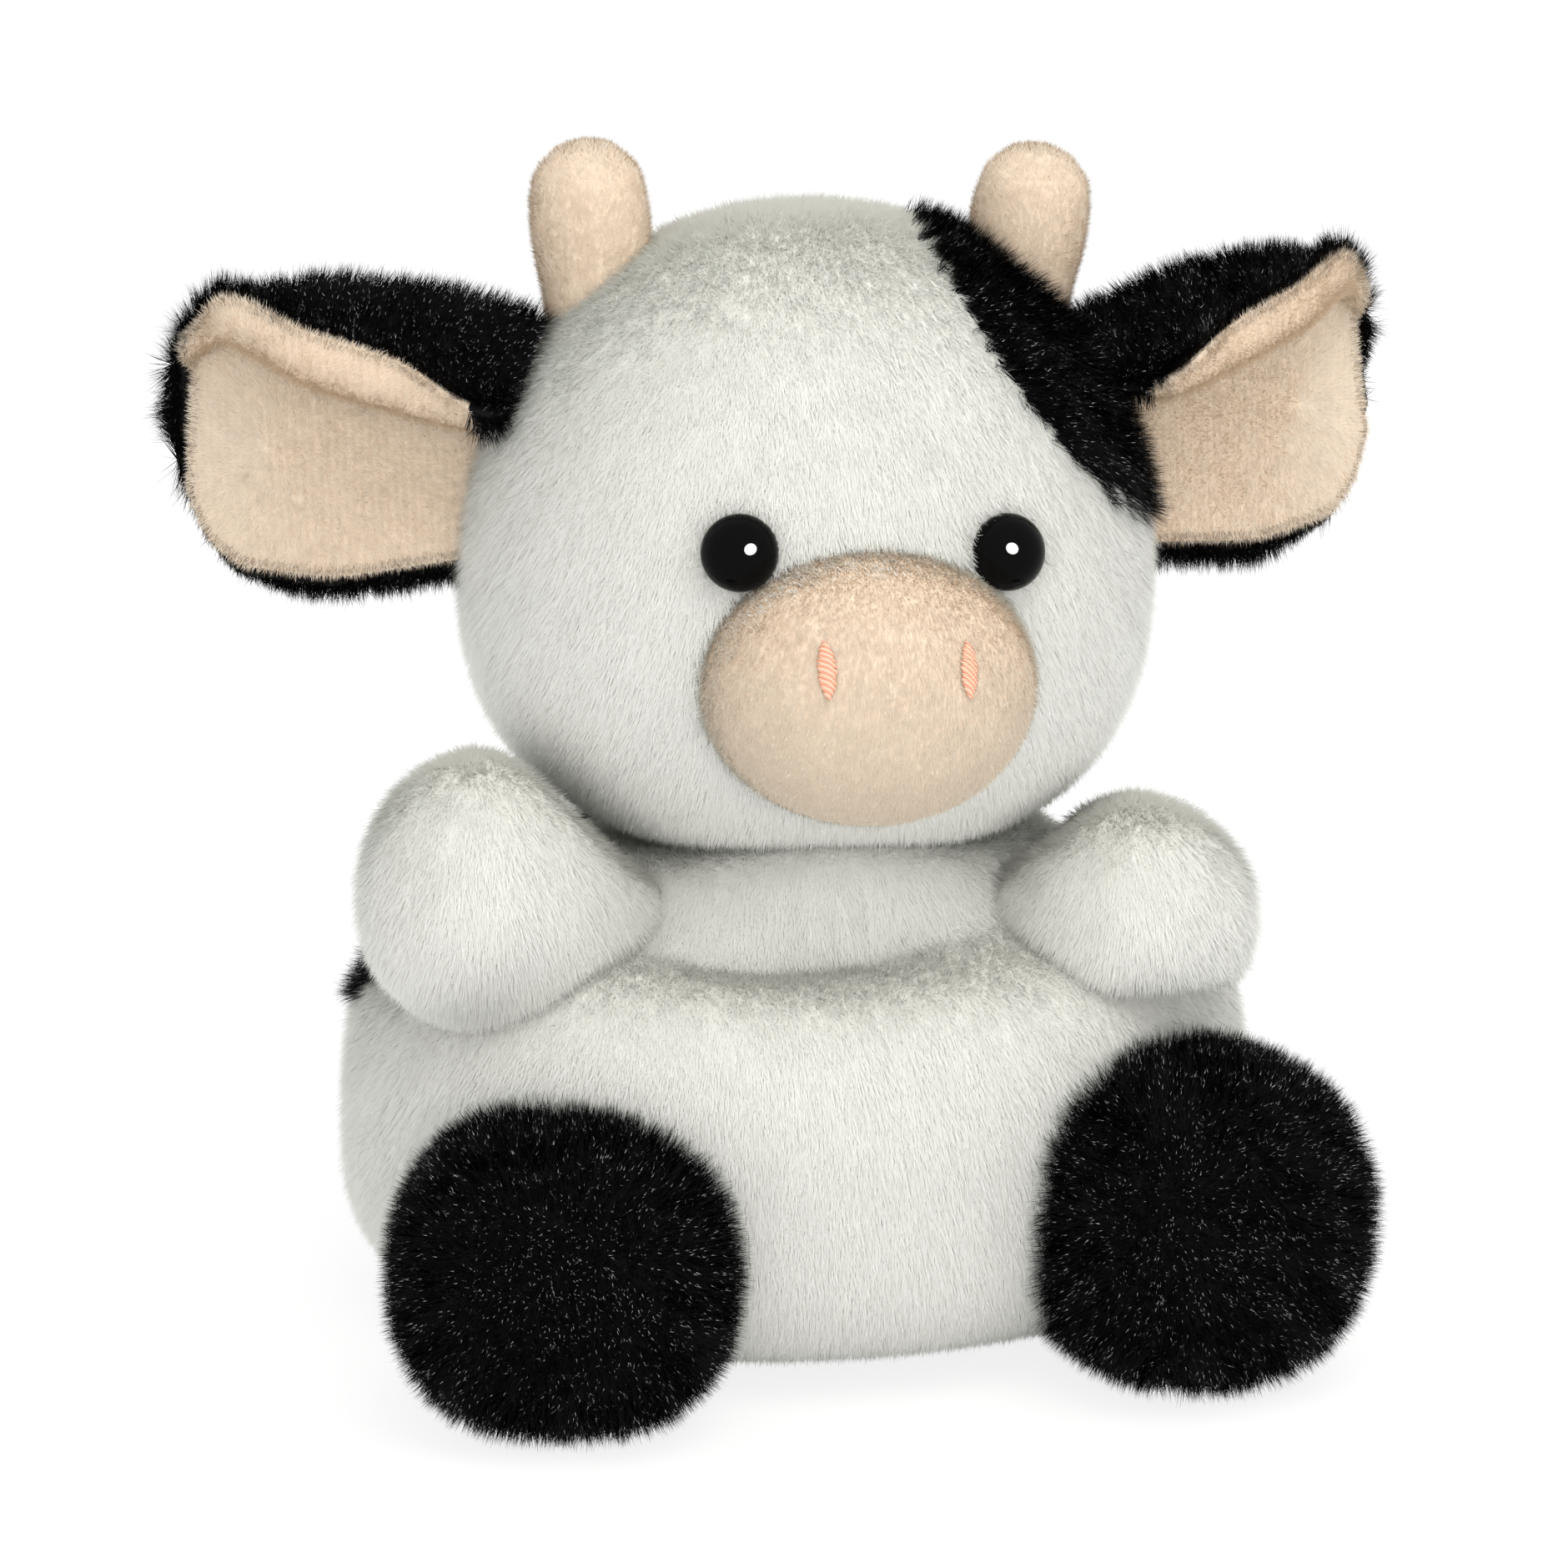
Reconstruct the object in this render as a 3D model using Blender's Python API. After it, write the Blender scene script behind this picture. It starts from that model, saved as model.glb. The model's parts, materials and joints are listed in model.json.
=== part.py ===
"""A seated plush cow, as the separate pieces that it is sewn and assembled from.

It faces -Y, its left side is +X, and Z is up. The origin is on the floor under the middle of its seat.
Lengths are in metres. Each stuffed form is a formula: a ball has a reach in every direction from its centre,
and a limb has an outline that is carried along its axis. A limb starts where it leaves what it is sewn to.
"""
import math

import bmesh
import bpy
import numpy as np
from mathutils import Matrix, Vector

MM = 0.001

# Cloth and clearances
GAP = 0.3 * MM
SEAM_GAP = 0.95 * MM
PRESS_GAP = 1.0 * MM
EAR_SEAM_GAP = 0.1 * MM
PILE_WALL = 2.4 * MM
NAP_WALL = 1.3 * MM
POUCH_WALL = 0.8 * MM

# Torso
SEAT_HALF_WIDTH = 46.0 * MM
LAP_REACH = 41.0 * MM
BACK_REACH = 35.0 * MM
TORSO_CENTRE_HEIGHT = 19.0 * MM
TORSO_RISE = 29.0 * MM
FLOOR_CUT = 0.5 * MM
TORSO_PLAN_POWER = 2.2
TORSO_RISE_POWER = 3.0
TORSO_DROP_POWER = 3.6
WAIST_FOLD_DEPTH = 9.0 * MM
WAIST_FOLD_RISE_DEG = 44.0
WAIST_FOLD_SPREAD_DEG = 15.0
WAIST_FOLD_TURN_DEG = 80.0
NECK_RADIUS = 12.5 * MM
PELLET_LEVEL = 17.0 * MM
POUCH_MOUTH_RADIUS = 4.0 * MM
NECK_PRESS_STEPS = 60
LEAST_NECK_SHARE = 0.7

# Head
HEAD_CENTRE_HEIGHT = 74.5 * MM
HEAD_HALF_WIDTH = 35.0 * MM
FACE_REACH = 32.5 * MM
NAPE_REACH = 31.0 * MM
CROWN_RISE = 36.5 * MM
CHIN_DROP = 29.0 * MM
HEAD_PLAN_POWER = 2.1
CROWN_POWER = 2.05
CHIN_POWER = 2.5
NECK_HEIGHT = 48.0 * MM
HEAD_TILT_DEG = 2.5
NOD_RANGE_DEG = (-8.0, 5.0)

# Muzzle and nostrils
MUZZLE_HEIGHT = HEAD_CENTRE_HEIGHT - 5.3 * MM
MUZZLE_HALF_WIDTH = 16.3 * MM
MUZZLE_HALF_HEIGHT = 13.6 * MM
MUZZLE_FRONT = FACE_REACH + 11.0 * MM
MUZZLE_DEPTH = 20.0 * MM
MUZZLE_OUTLINE_SHARES = ((0.0, 0.98), (0.35, 1.0), (0.62, 0.9), (0.84, 0.66), (0.96, 0.34), (1.0, 0.0))
NOSTRIL_SIDE = 6.8 * MM
NOSTRIL_HEIGHT = MUZZLE_HEIGHT + 4.1 * MM
NOSTRIL_HALF_WIDTH = 0.95 * MM
NOSTRIL_HALF_HEIGHT = 2.4 * MM
STITCH_RISE = 0.5 * MM

# Eyes
EYE_SIDE = 13.2 * MM
EYE_HEIGHT = HEAD_CENTRE_HEIGHT + 7.5 * MM
EYE_RADIUS = 3.7 * MM
EYE_DOME_RISE = 3.2 * MM
EYE_RIM_RISE = 0.7 * MM
BACKING_WALL = 0.8 * MM
SHANK_RADIUS = 1.4 * MM
SHANK_LENGTH = 7.0 * MM
SHANK_RIB = 0.25 * MM
SHANK_RIB_STEPS = 6
WASHER_RADIUS = 4.6 * MM
WASHER_WALL = 1.0 * MM

# Horns
HORN_SIDE = 20.4 * MM
HORN_BACK_SET = 4.5 * MM
HORN_BASE_HEIGHT = HEAD_CENTRE_HEIGHT + 20.5 * MM
HORN_HALF_WIDTH = 6.1 * MM
HORN_LENGTH = 20.8 * MM
HORN_LEAN_DEG = 7.0
HORN_OUTLINE_SHARES = ((0.0, 1.0), (0.35, 1.0), (0.6, 0.97), (0.8, 0.84), (0.94, 0.52), (1.0, 0.0))

# Ears
EAR_SIDE = 26.0 * MM
EAR_BACK_SET = 2.0 * MM
EAR_HEIGHT = HEAD_CENTRE_HEIGHT + 14.0 * MM
EAR_LENGTH = 39.5 * MM
LEFT_EAR_SWEEP_DEG = 26.0
RIGHT_EAR_SWEEP_DEG = 33.0
LEFT_EAR_RISE_DEG = 8.0
RIGHT_EAR_RISE_DEG = -4.0
EAR_FOLD_RISE = 9.0 * MM
EAR_DROP = 26.3 * MM
LEFT_EAR_WING = 19.0 * MM
RIGHT_EAR_WING = 20.2 * MM
LEFT_EAR_FOLD_DEG = 123.0
RIGHT_EAR_FOLD_DEG = 152.0
EAR_FOLD_RADIUS = 2.6 * MM
EAR_CURL_RADIUS = 3.0 * MM
EAR_CURL_DEG = 128.0
EAR_CURL_BEND_SHARE = 0.7
MOST_CURL_SHARE = 0.6
EAR_CUP_DEG = 14.0
EAR_SWING_DEG = (-8.0, 8.0)
# Shares along the ear: of its length, fold rise, drop below the fold, wing past the fold, fold and rim curl
EAR_SHARES = (
    (0.0, 0.66, 0.75, 0.62, 1.0, 0.3),
    (0.13, 0.82, 0.83, 0.96, 0.99, 0.8),
    (0.3, 0.95, 0.92, 1.02, 0.97, 1.0),
    (0.52, 1.0, 1.0, 0.95, 0.94, 1.0),
    (0.7, 0.9, 0.96, 0.74, 0.9, 0.95),
    (0.86, 0.6, 0.78, 0.42, 0.66, 0.5),
    (1.0, 0.1, 0.26, 0.14, 0.2, 0.1),
)

# Arms
SHOULDER_SIDE = 23.0 * MM
SHOULDER_BACK = -9.0 * MM
LEFT_SHOULDER_HEIGHT = 41.3 * MM
RIGHT_SHOULDER_HEIGHT = 44.3 * MM
ARM_LENGTH = 26.5 * MM
ARM_HALF_WIDTH = 12.4 * MM
LEFT_ARM_HALF_HEIGHT = 11.8 * MM
RIGHT_ARM_HALF_HEIGHT = 14.0 * MM
LEFT_ARM_TURN_DEG = 62.0
RIGHT_ARM_TURN_DEG = 37.0
LEFT_ARM_RISE_DEG = 4.0
RIGHT_ARM_RISE_DEG = 14.0
ARM_OUTLINE_SHARES = ((0.0, 0.9), (0.3, 0.98), (0.55, 1.0), (0.78, 0.87), (0.94, 0.53), (1.0, 0.0))
ARM_SWING_DEG = (-8.0, 8.0)

# Feet
HIP_SIDE = 25.5 * MM
HIP_BACK = -17.0 * MM
FOOT_LENGTH = 35.0 * MM
FOOT_HALF_WIDTH = 16.8 * MM
LEFT_FOOT_HALF_HEIGHT = 16.8 * MM
RIGHT_FOOT_HALF_HEIGHT = 15.4 * MM
LEFT_FOOT_TURN_DEG = 19.0
RIGHT_FOOT_TURN_DEG = 13.0
FOOT_POWER = 2.4
FOOT_OUTLINE_SHARES = (
    (0.0, 0.72), (0.3, 0.93), (0.55, 1.0), (0.78, 0.96), (0.93, 0.72), (0.99, 0.34), (1.0, 0.0),
)
FOOT_LIFT_DEG = (-12.0, 0.0)

# Tail
TAIL_ROOT_HEIGHT = 26.0 * MM
TAIL_LENGTH = 13.0 * MM
TAIL_HALF_WIDTH = 2.3 * MM
TUFT_LENGTH = 9.0 * MM
TUFT_HALF_WIDTH = 4.0 * MM
TAIL_SLOPE_DEG = 62.0
TAIL_OUTLINE_SHARES = ((0.0, 1.0), (0.5, 0.94), (0.9, 0.9), (1.0, 0.85))
TUFT_OUTLINE_SHARES = ((0.0, 0.5), (0.2, 0.86), (0.5, 1.0), (0.78, 0.8), (0.95, 0.4), (1.0, 0.0))
TAIL_LIFT_DEG = (0.0, 25.0)

# Patches, by heading from the front towards the left and by rise, seen from the form's centre
HEAD_PATCH_HEADING_DEG = 86.0
HEAD_PATCH_RISE_DEG = 43.0
HEAD_PATCH_HALF_DEG = (37.0, 32.0)
BACK_PATCH_HEADING_DEG = -120.0
BACK_PATCH_RISE_DEG = 34.0
BACK_PATCH_HALF_DEG = (30.0, 24.0)

# How finely the forms are divided
BALL_COLUMNS = 24
BALL_ROWS = 11
LIMB_COLUMNS = 16
LIMB_ROWS = 7
SMALL_COLUMNS = 12
SMALL_ROWS = 5
EAR_DROP_COLUMNS = 6
EAR_WING_COLUMNS = 6
EAR_CURL_COLUMNS = 2
EAR_ROWS = 8
EAR_STEPS = 90
TRIM_STEPS = 160
PRESS_STEPS = 90
LEAST_PRESS_SHARE = 0.5
SWING_STEPS = 5
AIM_STEPS = 8
START_ROUNDS = 3
ROOT_CAP_STEPS = 3
HEAD_EXTRA_ROWS = 2
OUTLINE_STEPS = 80
PATCH_POINTS = 28


def clear_scene():
    for thing in list(bpy.data.objects):
        bpy.data.objects.remove(thing, do_unlink=True)


def material(name, colour, roughness, metallic=0.0):
    finish = bpy.data.materials.new(name)
    finish.use_nodes = True
    shader = finish.node_tree.nodes["Principled BSDF"]
    shader.inputs["Base Color"].default_value = (*colour, 1.0)
    shader.inputs["Roughness"].default_value = roughness
    shader.inputs["Metallic"].default_value = metallic
    return finish


def curve_through(stations, count=OUTLINE_STEPS):
    """Points on a smooth curve through the stations, whose slope at a station is that of its neighbours."""
    stations = np.array(stations, float)
    steps = np.linalg.norm(np.diff(stations, axis=0), axis=1)
    knots = np.concatenate(([0.0], np.cumsum(steps))) / steps.sum()
    slopes = np.gradient(stations, knots, axis=0)
    at = np.linspace(0.0, 1.0, count)
    piece = np.clip(np.searchsorted(knots, at, side="right") - 1, 0, len(knots) - 2)
    width = (knots[piece + 1] - knots[piece])[:, None]
    share = (at[:, None] - knots[piece][:, None]) / width
    start, end = stations[piece], stations[piece + 1]
    leave, arrive = slopes[piece] * width, slopes[piece + 1] * width
    return (
        start * (1 + 2 * share) * (1 - share) ** 2
        + leave * share * (1 - share) ** 2
        + end * share**2 * (3 - 2 * share)
        + arrive * share**2 * (share - 1)
    )


def turn_about(points, pivot, axis, degrees):
    """Points turned about an axis through the pivot, by the right-hand rule."""
    turn = np.array(Matrix.Rotation(math.radians(degrees), 3, Vector(axis)))
    return (points - pivot) @ turn.T + pivot


def unit(vector):
    vector = np.array(vector, float)
    return vector / np.linalg.norm(vector)


def smooth_step(share):
    share = np.clip(share, 0.0, 1.0)
    return share * share * (3 - 2 * share)


def first_clear(blocked):
    """The row of each column past which nothing is blocked, short of the last row."""
    last_row = len(blocked) - 1
    last = np.where(blocked.any(axis=0), last_row - np.argmax(blocked[::-1], axis=0), 0)
    return np.minimum(last + 1, last_row - 1)


class Fold:
    """A soft dent in a ball, centred on a heading from the front and a rise above level."""

    def __init__(self, heading, rise, turn, spread, depth):
        self.heading, self.rise = math.radians(heading), math.radians(rise)
        self.turn, self.spread, self.depth = math.radians(turn), math.radians(spread), depth

    def dent(self, directions):
        heading = np.arctan2(directions[..., 0], -directions[..., 1]) - self.heading
        heading = (heading + math.pi) % (2 * math.pi) - math.pi
        rise = np.arcsin(np.clip(directions[..., 2], -1.0, 1.0)) - self.rise
        return self.depth * np.exp(-((heading / self.turn) ** 2) - (rise / self.spread) ** 2)


class Ball:
    """A stuffed bag whose reach from its centre is that of a rounded box, less its folds."""

    def __init__(self, centre, width, front, back, up, down, plan_power, up_power, down_power, folds=()):
        self.centre = np.array(centre, float)
        self.width, self.front, self.back, self.up, self.down = width, front, back, up, down
        self.plan_power, self.up_power, self.down_power = plan_power, up_power, down_power
        self.folds = folds

    def reach(self, directions, inset=0.0):
        """Distance to the surface: plan and rise are each a power mean of the shares of the half sizes."""
        x, y, z = np.abs(directions[..., 0]), directions[..., 1], directions[..., 2]
        depth = np.where(y < 0, self.front, self.back) - inset
        rise = np.where(z < 0, self.down, self.up) - inset
        power = np.where(z < 0, self.down_power, self.up_power)
        plan = (x / (self.width - inset)) ** self.plan_power + (np.abs(y) / depth) ** self.plan_power
        total = plan ** (power / self.plan_power) + (np.abs(z) / rise) ** power
        return total ** (-1 / power) - sum(fold.dent(directions) for fold in self.folds)

    def point(self, directions, inset=0.0):
        return self.centre + directions * self.reach(directions, inset)[..., None]

    def outside(self, points):
        """How far points lie outside the surface, along the line from the centre."""
        offsets = points - self.centre
        length = np.maximum(np.linalg.norm(offsets, axis=-1), MM * MM)
        return length - self.reach(offsets / length[..., None])


class Limb:
    """A stuffed tube along an axis, with rounded sections that its outline swells and tapers."""

    def __init__(self, root, along, up, length, half_width, half_height, outline, power=2.0):
        self.root, self.along = np.array(root, float), unit(along)
        self.side = unit(np.cross(self.along, up))
        self.lift = np.cross(self.side, self.along)
        self.length, self.half_width, self.half_height = length, half_width, half_height
        self.outline, self.power = curve_through(outline), power

    def section(self, turn, inset):
        """The reach of the widest section at a turn round the axis."""
        width, height = self.half_width - inset, self.half_height - inset
        total = np.abs(np.cos(turn) / width) ** self.power + np.abs(np.sin(turn) / height) ** self.power
        return total ** (-1 / self.power)

    def point(self, at, turn, inset=0.0, scale=1.0, press=1.0):
        """The point at a share of the outline and a turn, on a section shrunk by scale.

        A press below 1 draws every layer in by the same length: the rest of that share of the skin's reach.
        """
        at, turn, scale, press = np.broadcast_arrays(at, turn, scale, press)
        shares = np.linspace(0.0, 1.0, len(self.outline))
        along = np.interp(at, shares, self.outline[:, 0]) * (self.length - inset)
        across = np.interp(at, shares, self.outline[:, 1]) * scale
        radius = self.section(turn, inset) - (1 - press) * self.section(turn, 0.0)
        sine, cosine = np.sin(turn), np.cos(turn)
        return (
            self.root
            + along[..., None] * self.along
            + (across * radius * cosine)[..., None] * self.side
            + (across * radius * sine)[..., None] * self.lift
        )

    def press(self, at, turn, pressers):
        """The share of its reach that the skin keeps so that it clears what presses on it."""
        press = np.ones(np.broadcast(at, turn).shape)
        for share in np.linspace(1.0, LEAST_PRESS_SHARE, PRESS_STEPS if pressers else 0):
            points = self.point(at, turn, press=press)
            blocked = np.any([presser(points) for presser in pressers], axis=0)
            press = np.where(blocked, share, press)
        return press

    def start(self, turn, inset, scale, blockers, pressers):
        """The share of the outline past which a line along the pressed limb stays clear of every blocker."""
        at = np.linspace(0.0, 1.0, TRIM_STEPS)
        begin, press = np.zeros(turn.shape), np.ones(turn.shape)
        for _ in range(START_ROUNDS):
            points = self.point(at[:, None], turn[None, :], inset, scale, press[None, :])
            begin = at[first_clear(np.any([blocker(points) for blocker in blockers], axis=0))]
            press = self.press(begin, turn, pressers)
        return begin

    def pressed(self, at, turn, inset, scale, pressers):
        return self.point(at, turn, inset, scale, self.press(at, turn, pressers))

    def rings(self, inset, columns, rows, blockers, pressers=(), tip_share=1.0):
        """Rings from the mouth, which follows what the limb is sewn to, towards the tip."""
        turn = np.arange(columns) * 2 * math.pi / columns
        begin = self.start(turn, inset, 1.0, blockers, pressers)
        share = np.linspace(0.0, 1.0, rows + 1)[:-1, None]
        at = begin[None, :] + (tip_share - begin[None, :]) * share
        return self.pressed(at, np.broadcast_to(turn, at.shape), inset, 1.0, pressers)

    def root_cap(self, inset, columns, blockers, pressers=(), steps=ROOT_CAP_STEPS):
        """Rings that close the root, from its middle outwards, each where it leaves what it is sewn to."""
        turn = np.arange(columns) * 2 * math.pi / columns
        caps = []
        for step in range(1, steps):
            scale = step / steps
            begin = self.start(turn, inset, scale, blockers, pressers)
            caps.append(self.pressed(begin, turn, inset, scale, pressers))
        middle = self.point(self.start(turn[:1], inset, 0.0, blockers, ()), turn[:1], inset, 0.0)[0]
        return middle, caps

    def tip(self, inset):
        return self.root + self.along * (self.length - inset)

    def near(self, points, gap):
        """True where a point is nearer the limb's axis than its half width and the gap."""
        offsets = points - self.root
        along = np.clip(offsets @ self.along, 0.0, self.length - self.half_width)
        return np.linalg.norm(offsets - along[..., None] * self.along, axis=-1) < self.half_width + gap

    def covers(self, points, gap):
        """True where a point is nearer the limb's axis than its skin there and the gap."""
        offsets = points - self.root
        side, lift = offsets @ self.side, offsets @ self.lift
        share = offsets @ self.along / (self.length + gap)
        turn, radius = np.arctan2(lift, side), np.hypot(side, lift)
        skin = np.interp(share, self.outline[:, 0], self.outline[:, 1]) * self.section(turn, 0.0)
        return (radius < skin + gap) & (share < 1.0)


def mesh_object(name, points, faces, finish, parent, pivot):
    """An object whose mesh is given about its pivot, under its body's empty."""
    mesh = bpy.data.meshes.new(name)
    mesh.from_pydata([tuple(point - pivot) for point in points], [], faces)
    shape = bmesh.new()
    shape.from_mesh(mesh)
    bmesh.ops.recalc_face_normals(shape, faces=shape.faces)
    bmesh.ops.triangulate(shape, faces=shape.faces)
    shape.to_mesh(mesh)
    shape.free()
    mesh.shade_smooth()
    thing = bpy.data.objects.new(name, mesh)
    bpy.context.scene.collection.objects.link(thing)
    thing.data.materials.append(finish)
    thing.parent = parent
    return thing


def loft(name, rings, first, last, finish, body):
    """A closed skin over rings of points in order, with each end drawn to a point."""
    columns = len(rings[0])
    points = [first] + [point for ring in rings for point in ring] + [last]
    faces = [(0, 1 + (i + 1) % columns, 1 + i) for i in range(columns)]
    for row in range(len(rings) - 1):
        here, there = 1 + row * columns, 1 + (row + 1) * columns
        faces += [
            (here + i, here + (i + 1) % columns, there + (i + 1) % columns, there + i)
            for i in range(columns)
        ]
    end, base = len(points) - 1, 1 + (len(rings) - 1) * columns
    faces += [(end, base + i, base + (i + 1) % columns) for i in range(columns)]
    return mesh_object(name, points, faces, finish, *body)


def strip_loft(name, rings, finish, body):
    """A closed skin over flat rings, each one side of a sheet and then the other side back."""
    columns = len(rings[0])
    half = columns // 2
    points = [point for ring in rings for point in ring]
    faces = []
    for row in range(len(rings) - 1):
        here, there = row * columns, (row + 1) * columns
        faces += [
            (here + i, here + (i + 1) % columns, there + (i + 1) % columns, there + i)
            for i in range(columns)
        ]
    for base in (0, (len(rings) - 1) * columns):
        last = base + columns - 1
        faces += [(base + i, base + i + 1, last - 1 - i, last - i) for i in range(half - 1)]
    return mesh_object(name, points, faces, finish, *body)


def ring_directions(mouth_angle, pole, rows, columns=BALL_COLUMNS):
    """Directions from a ball's centre, in rings from a mouth round the pole to short of the far end."""
    angle = np.linspace(mouth_angle, math.pi, rows + 1)[:-1, None]
    turn = np.arange(columns)[None, :] * 2 * math.pi / columns
    across, rise = np.sin(angle), pole * np.cos(angle) * np.ones_like(turn)
    return np.stack([across * np.cos(turn), across * np.sin(turn), rise], axis=-1)


def ball_rings(ball, pole, inset, mouth_angle, rows=BALL_ROWS, columns=BALL_COLUMNS):
    """Rings round a ball from its mouth to the far side. The mouth faces the pole, +1 for up, -1 for down."""
    directions = ring_directions(mouth_angle, pole, rows, columns)
    far = np.array([[0.0, 0.0, -pole]])
    return ball.point(directions, inset), ball.point(far, inset)[0]


def body_empty(name, pivot, parent=None, parent_pivot=None, turn=None):
    """The empty on a body's joint axis, and the pivot that the meshes under it are given about."""
    empty = bpy.data.objects.new(name, None)
    bpy.context.scene.collection.objects.link(empty)
    empty.parent = parent
    empty.location = Vector(pivot if parent is None else pivot - parent_pivot)
    if turn is not None:
        empty.rotation_euler = turn
    return empty, np.array(pivot, float)


def cutter_object(name, rings, first, last, body):
    tool = loft(name, rings, first, last, None, body)
    tool.hide_render = True
    tool.display_type = "WIRE"
    return tool


def cut(thing, tool, operation="DIFFERENCE"):
    step = thing.modifiers.new(tool.name, "BOOLEAN")
    step.operation = operation
    step.object = tool
    step.solver = "EXACT"


def turned_rings(profile, centre, axis, columns):
    """Rings of a turned profile, given as places along the axis and radii."""
    axis = unit(axis)
    side = unit(np.cross(axis, (0.0, 0.0, 1.0)))
    lift = np.cross(side, axis)
    turn = np.arange(columns) * 2 * math.pi / columns
    circle = np.cos(turn)[:, None] * side + np.sin(turn)[:, None] * lift
    return [centre + axis * along + circle * radius for along, radius in profile]


clear_scene()
white_plush = material("white_plush", (0.79, 0.79, 0.72), 0.9)
black_plush = material("black_plush", (0.006, 0.006, 0.007), 0.8)
peach_plush = material("peach_plush", (0.83, 0.62, 0.46), 0.9)
fibre_fill = material("fibre_fill", (0.86, 0.86, 0.84), 1.0)
pouch_cloth = material("pouch_cloth", (0.74, 0.74, 0.72), 0.85)
pellet_plastic = material("pellet_plastic", (0.62, 0.64, 0.66), 0.45)
eye_plastic = material("eye_plastic", (0.006, 0.006, 0.007), 0.06)
washer_plastic = material("washer_plastic", (0.75, 0.75, 0.73), 0.4)
coral_thread = material("coral_thread", (0.85, 0.26, 0.16), 0.4)

# The stuffed forms
SIDES = {"left": 1.0, "right": -1.0}
torso = Ball(
    (0.0, 0.0, TORSO_CENTRE_HEIGHT),
    SEAT_HALF_WIDTH, LAP_REACH, BACK_REACH, TORSO_RISE, TORSO_CENTRE_HEIGHT + FLOOR_CUT,
    TORSO_PLAN_POWER, TORSO_RISE_POWER, TORSO_DROP_POWER,
    [Fold(0.0, WAIST_FOLD_RISE_DEG, WAIST_FOLD_TURN_DEG, WAIST_FOLD_SPREAD_DEG, WAIST_FOLD_DEPTH)],
)
head = Ball(
    (0.0, 0.0, HEAD_CENTRE_HEIGHT),
    HEAD_HALF_WIDTH, FACE_REACH, NAPE_REACH, CROWN_RISE, CHIN_DROP,
    HEAD_PLAN_POWER, CROWN_POWER, CHIN_POWER,
)
neck = np.array([0.0, 0.0, NECK_HEIGHT])
NOD_AXIS = np.array([1.0, 0.0, 0.0])
TILT_AXIS = np.array([0.0, 1.0, 0.0])
UPRIGHT_AXIS = np.array([0.0, 0.0, 1.0])


def swing_steps(limits):
    return np.linspace(min(limits), max(limits), SWING_STEPS)


def tilted(points, nod=0.0):
    """Where points of the straight head are once it has nodded and is tilted as it sits."""
    return turn_about(turn_about(points, neck, NOD_AXIS, nod), neck, TILT_AXIS, HEAD_TILT_DEG)


def straightened(points, nod=0.0):
    return turn_about(turn_about(points, neck, TILT_AXIS, -HEAD_TILT_DEG), neck, NOD_AXIS, -nod)


def torso_touches_head(points, gap):
    """True where a point of the straight head comes nearer the torso than the gap at some nod."""
    return np.any([torso.outside(tilted(points, nod)) < gap for nod in swing_steps(NOD_RANGE_DEG)], axis=0)


def swept(form, pivot, axis, limits, gap=GAP):
    """A test that is true where a point comes nearer a form than the gap at some place of its joint."""
    return lambda points: np.any(
        [form.outside(turn_about(points, pivot, axis, turn)) < gap for turn in swing_steps(limits)], axis=0
    )


def like_ends(own, other):
    """The places of two joints that are kept clear: each alone over its range, and both at like ends."""
    alone = [(degrees, 0.0) for degrees in swing_steps(own)]
    alone += [(0.0, degrees) for degrees in swing_steps(other)]
    return alone + [(min(own), min(other)), (max(own), max(other))]


def met_by(nearer, undo, pivot, own, other):
    """A test that is true where an arm's point comes too near a form that moves as well."""
    return lambda points: np.any(
        [
            nearer(undo(turn_about(points, pivot, UPRIGHT_AXIS, mine), theirs), PRESS_GAP)
            for mine, theirs in like_ends(own, other)
        ],
        axis=0,
    )


def near_head(points, gap):
    return head.outside(points) < gap


def stuffed(name, form, wall, columns, rows, finish, body, blockers, pressers=(), floor=False):
    """A limb's cover, open at its root, and the fibre filling in it."""
    def settle(rings, level):
        raised = np.concatenate([rings[..., :2], np.maximum(rings[..., 2:], level)], axis=-1)
        return raised if floor else rings

    outer = settle(form.rings(0.0, columns, rows, blockers, pressers), 0.0)
    inner = settle(form.rings(wall, columns, rows, blockers, pressers), wall)
    loft(name + "_cover", list(outer[::-1]) + list(inner), form.tip(0.0), form.tip(wall), finish, body)
    deep = wall + GAP
    core = settle(form.rings(deep, columns, rows, blockers, pressers), deep)
    middle, caps = form.root_cap(deep, columns, blockers, pressers)
    caps = [settle(ring, deep) for ring in caps]
    return loft(name + "_fill", caps + list(core), middle, form.tip(deep), fibre_fill, body)


# Torso: cover, fibre above, and the pellet pouch in the seat
root_body = body_empty("root_frame", np.zeros(3))
neck_mouth = math.atan2(NECK_RADIUS, TORSO_RISE)


def torso_rings(inset, mouth_angle, floor):
    """Rings of the torso form, cut flat at a floor level along each line from its centre."""
    rings, far = ball_rings(torso, 1, inset, mouth_angle)
    points = np.concatenate([rings.reshape(-1, 3), far[None, :]]) - torso.centre
    drop = torso.centre[2] - floor
    share = np.minimum(1.0, drop / np.maximum(-points[:, 2], drop))
    points = points * share[:, None] + torso.centre
    return points[:-1].reshape(rings.shape), points[-1]


def split_rings(inset, floor, level):
    """The torso form's rings above a level, the ring on it, the rings below it, and the bottom's middle."""
    rings, far = torso_rings(inset, neck_mouth, floor)
    columns = np.arange(rings.shape[1])
    first = np.argmax(rings[..., 2] < level, axis=0)
    high, low = rings[first - 1, columns], rings[first, columns]
    share = (high[:, 2:] - level) / (high[:, 2:] - low[:, 2:])
    return list(rings[: first.min()]), high + (low - high) * share, list(rings[first.max() :]), far


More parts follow.
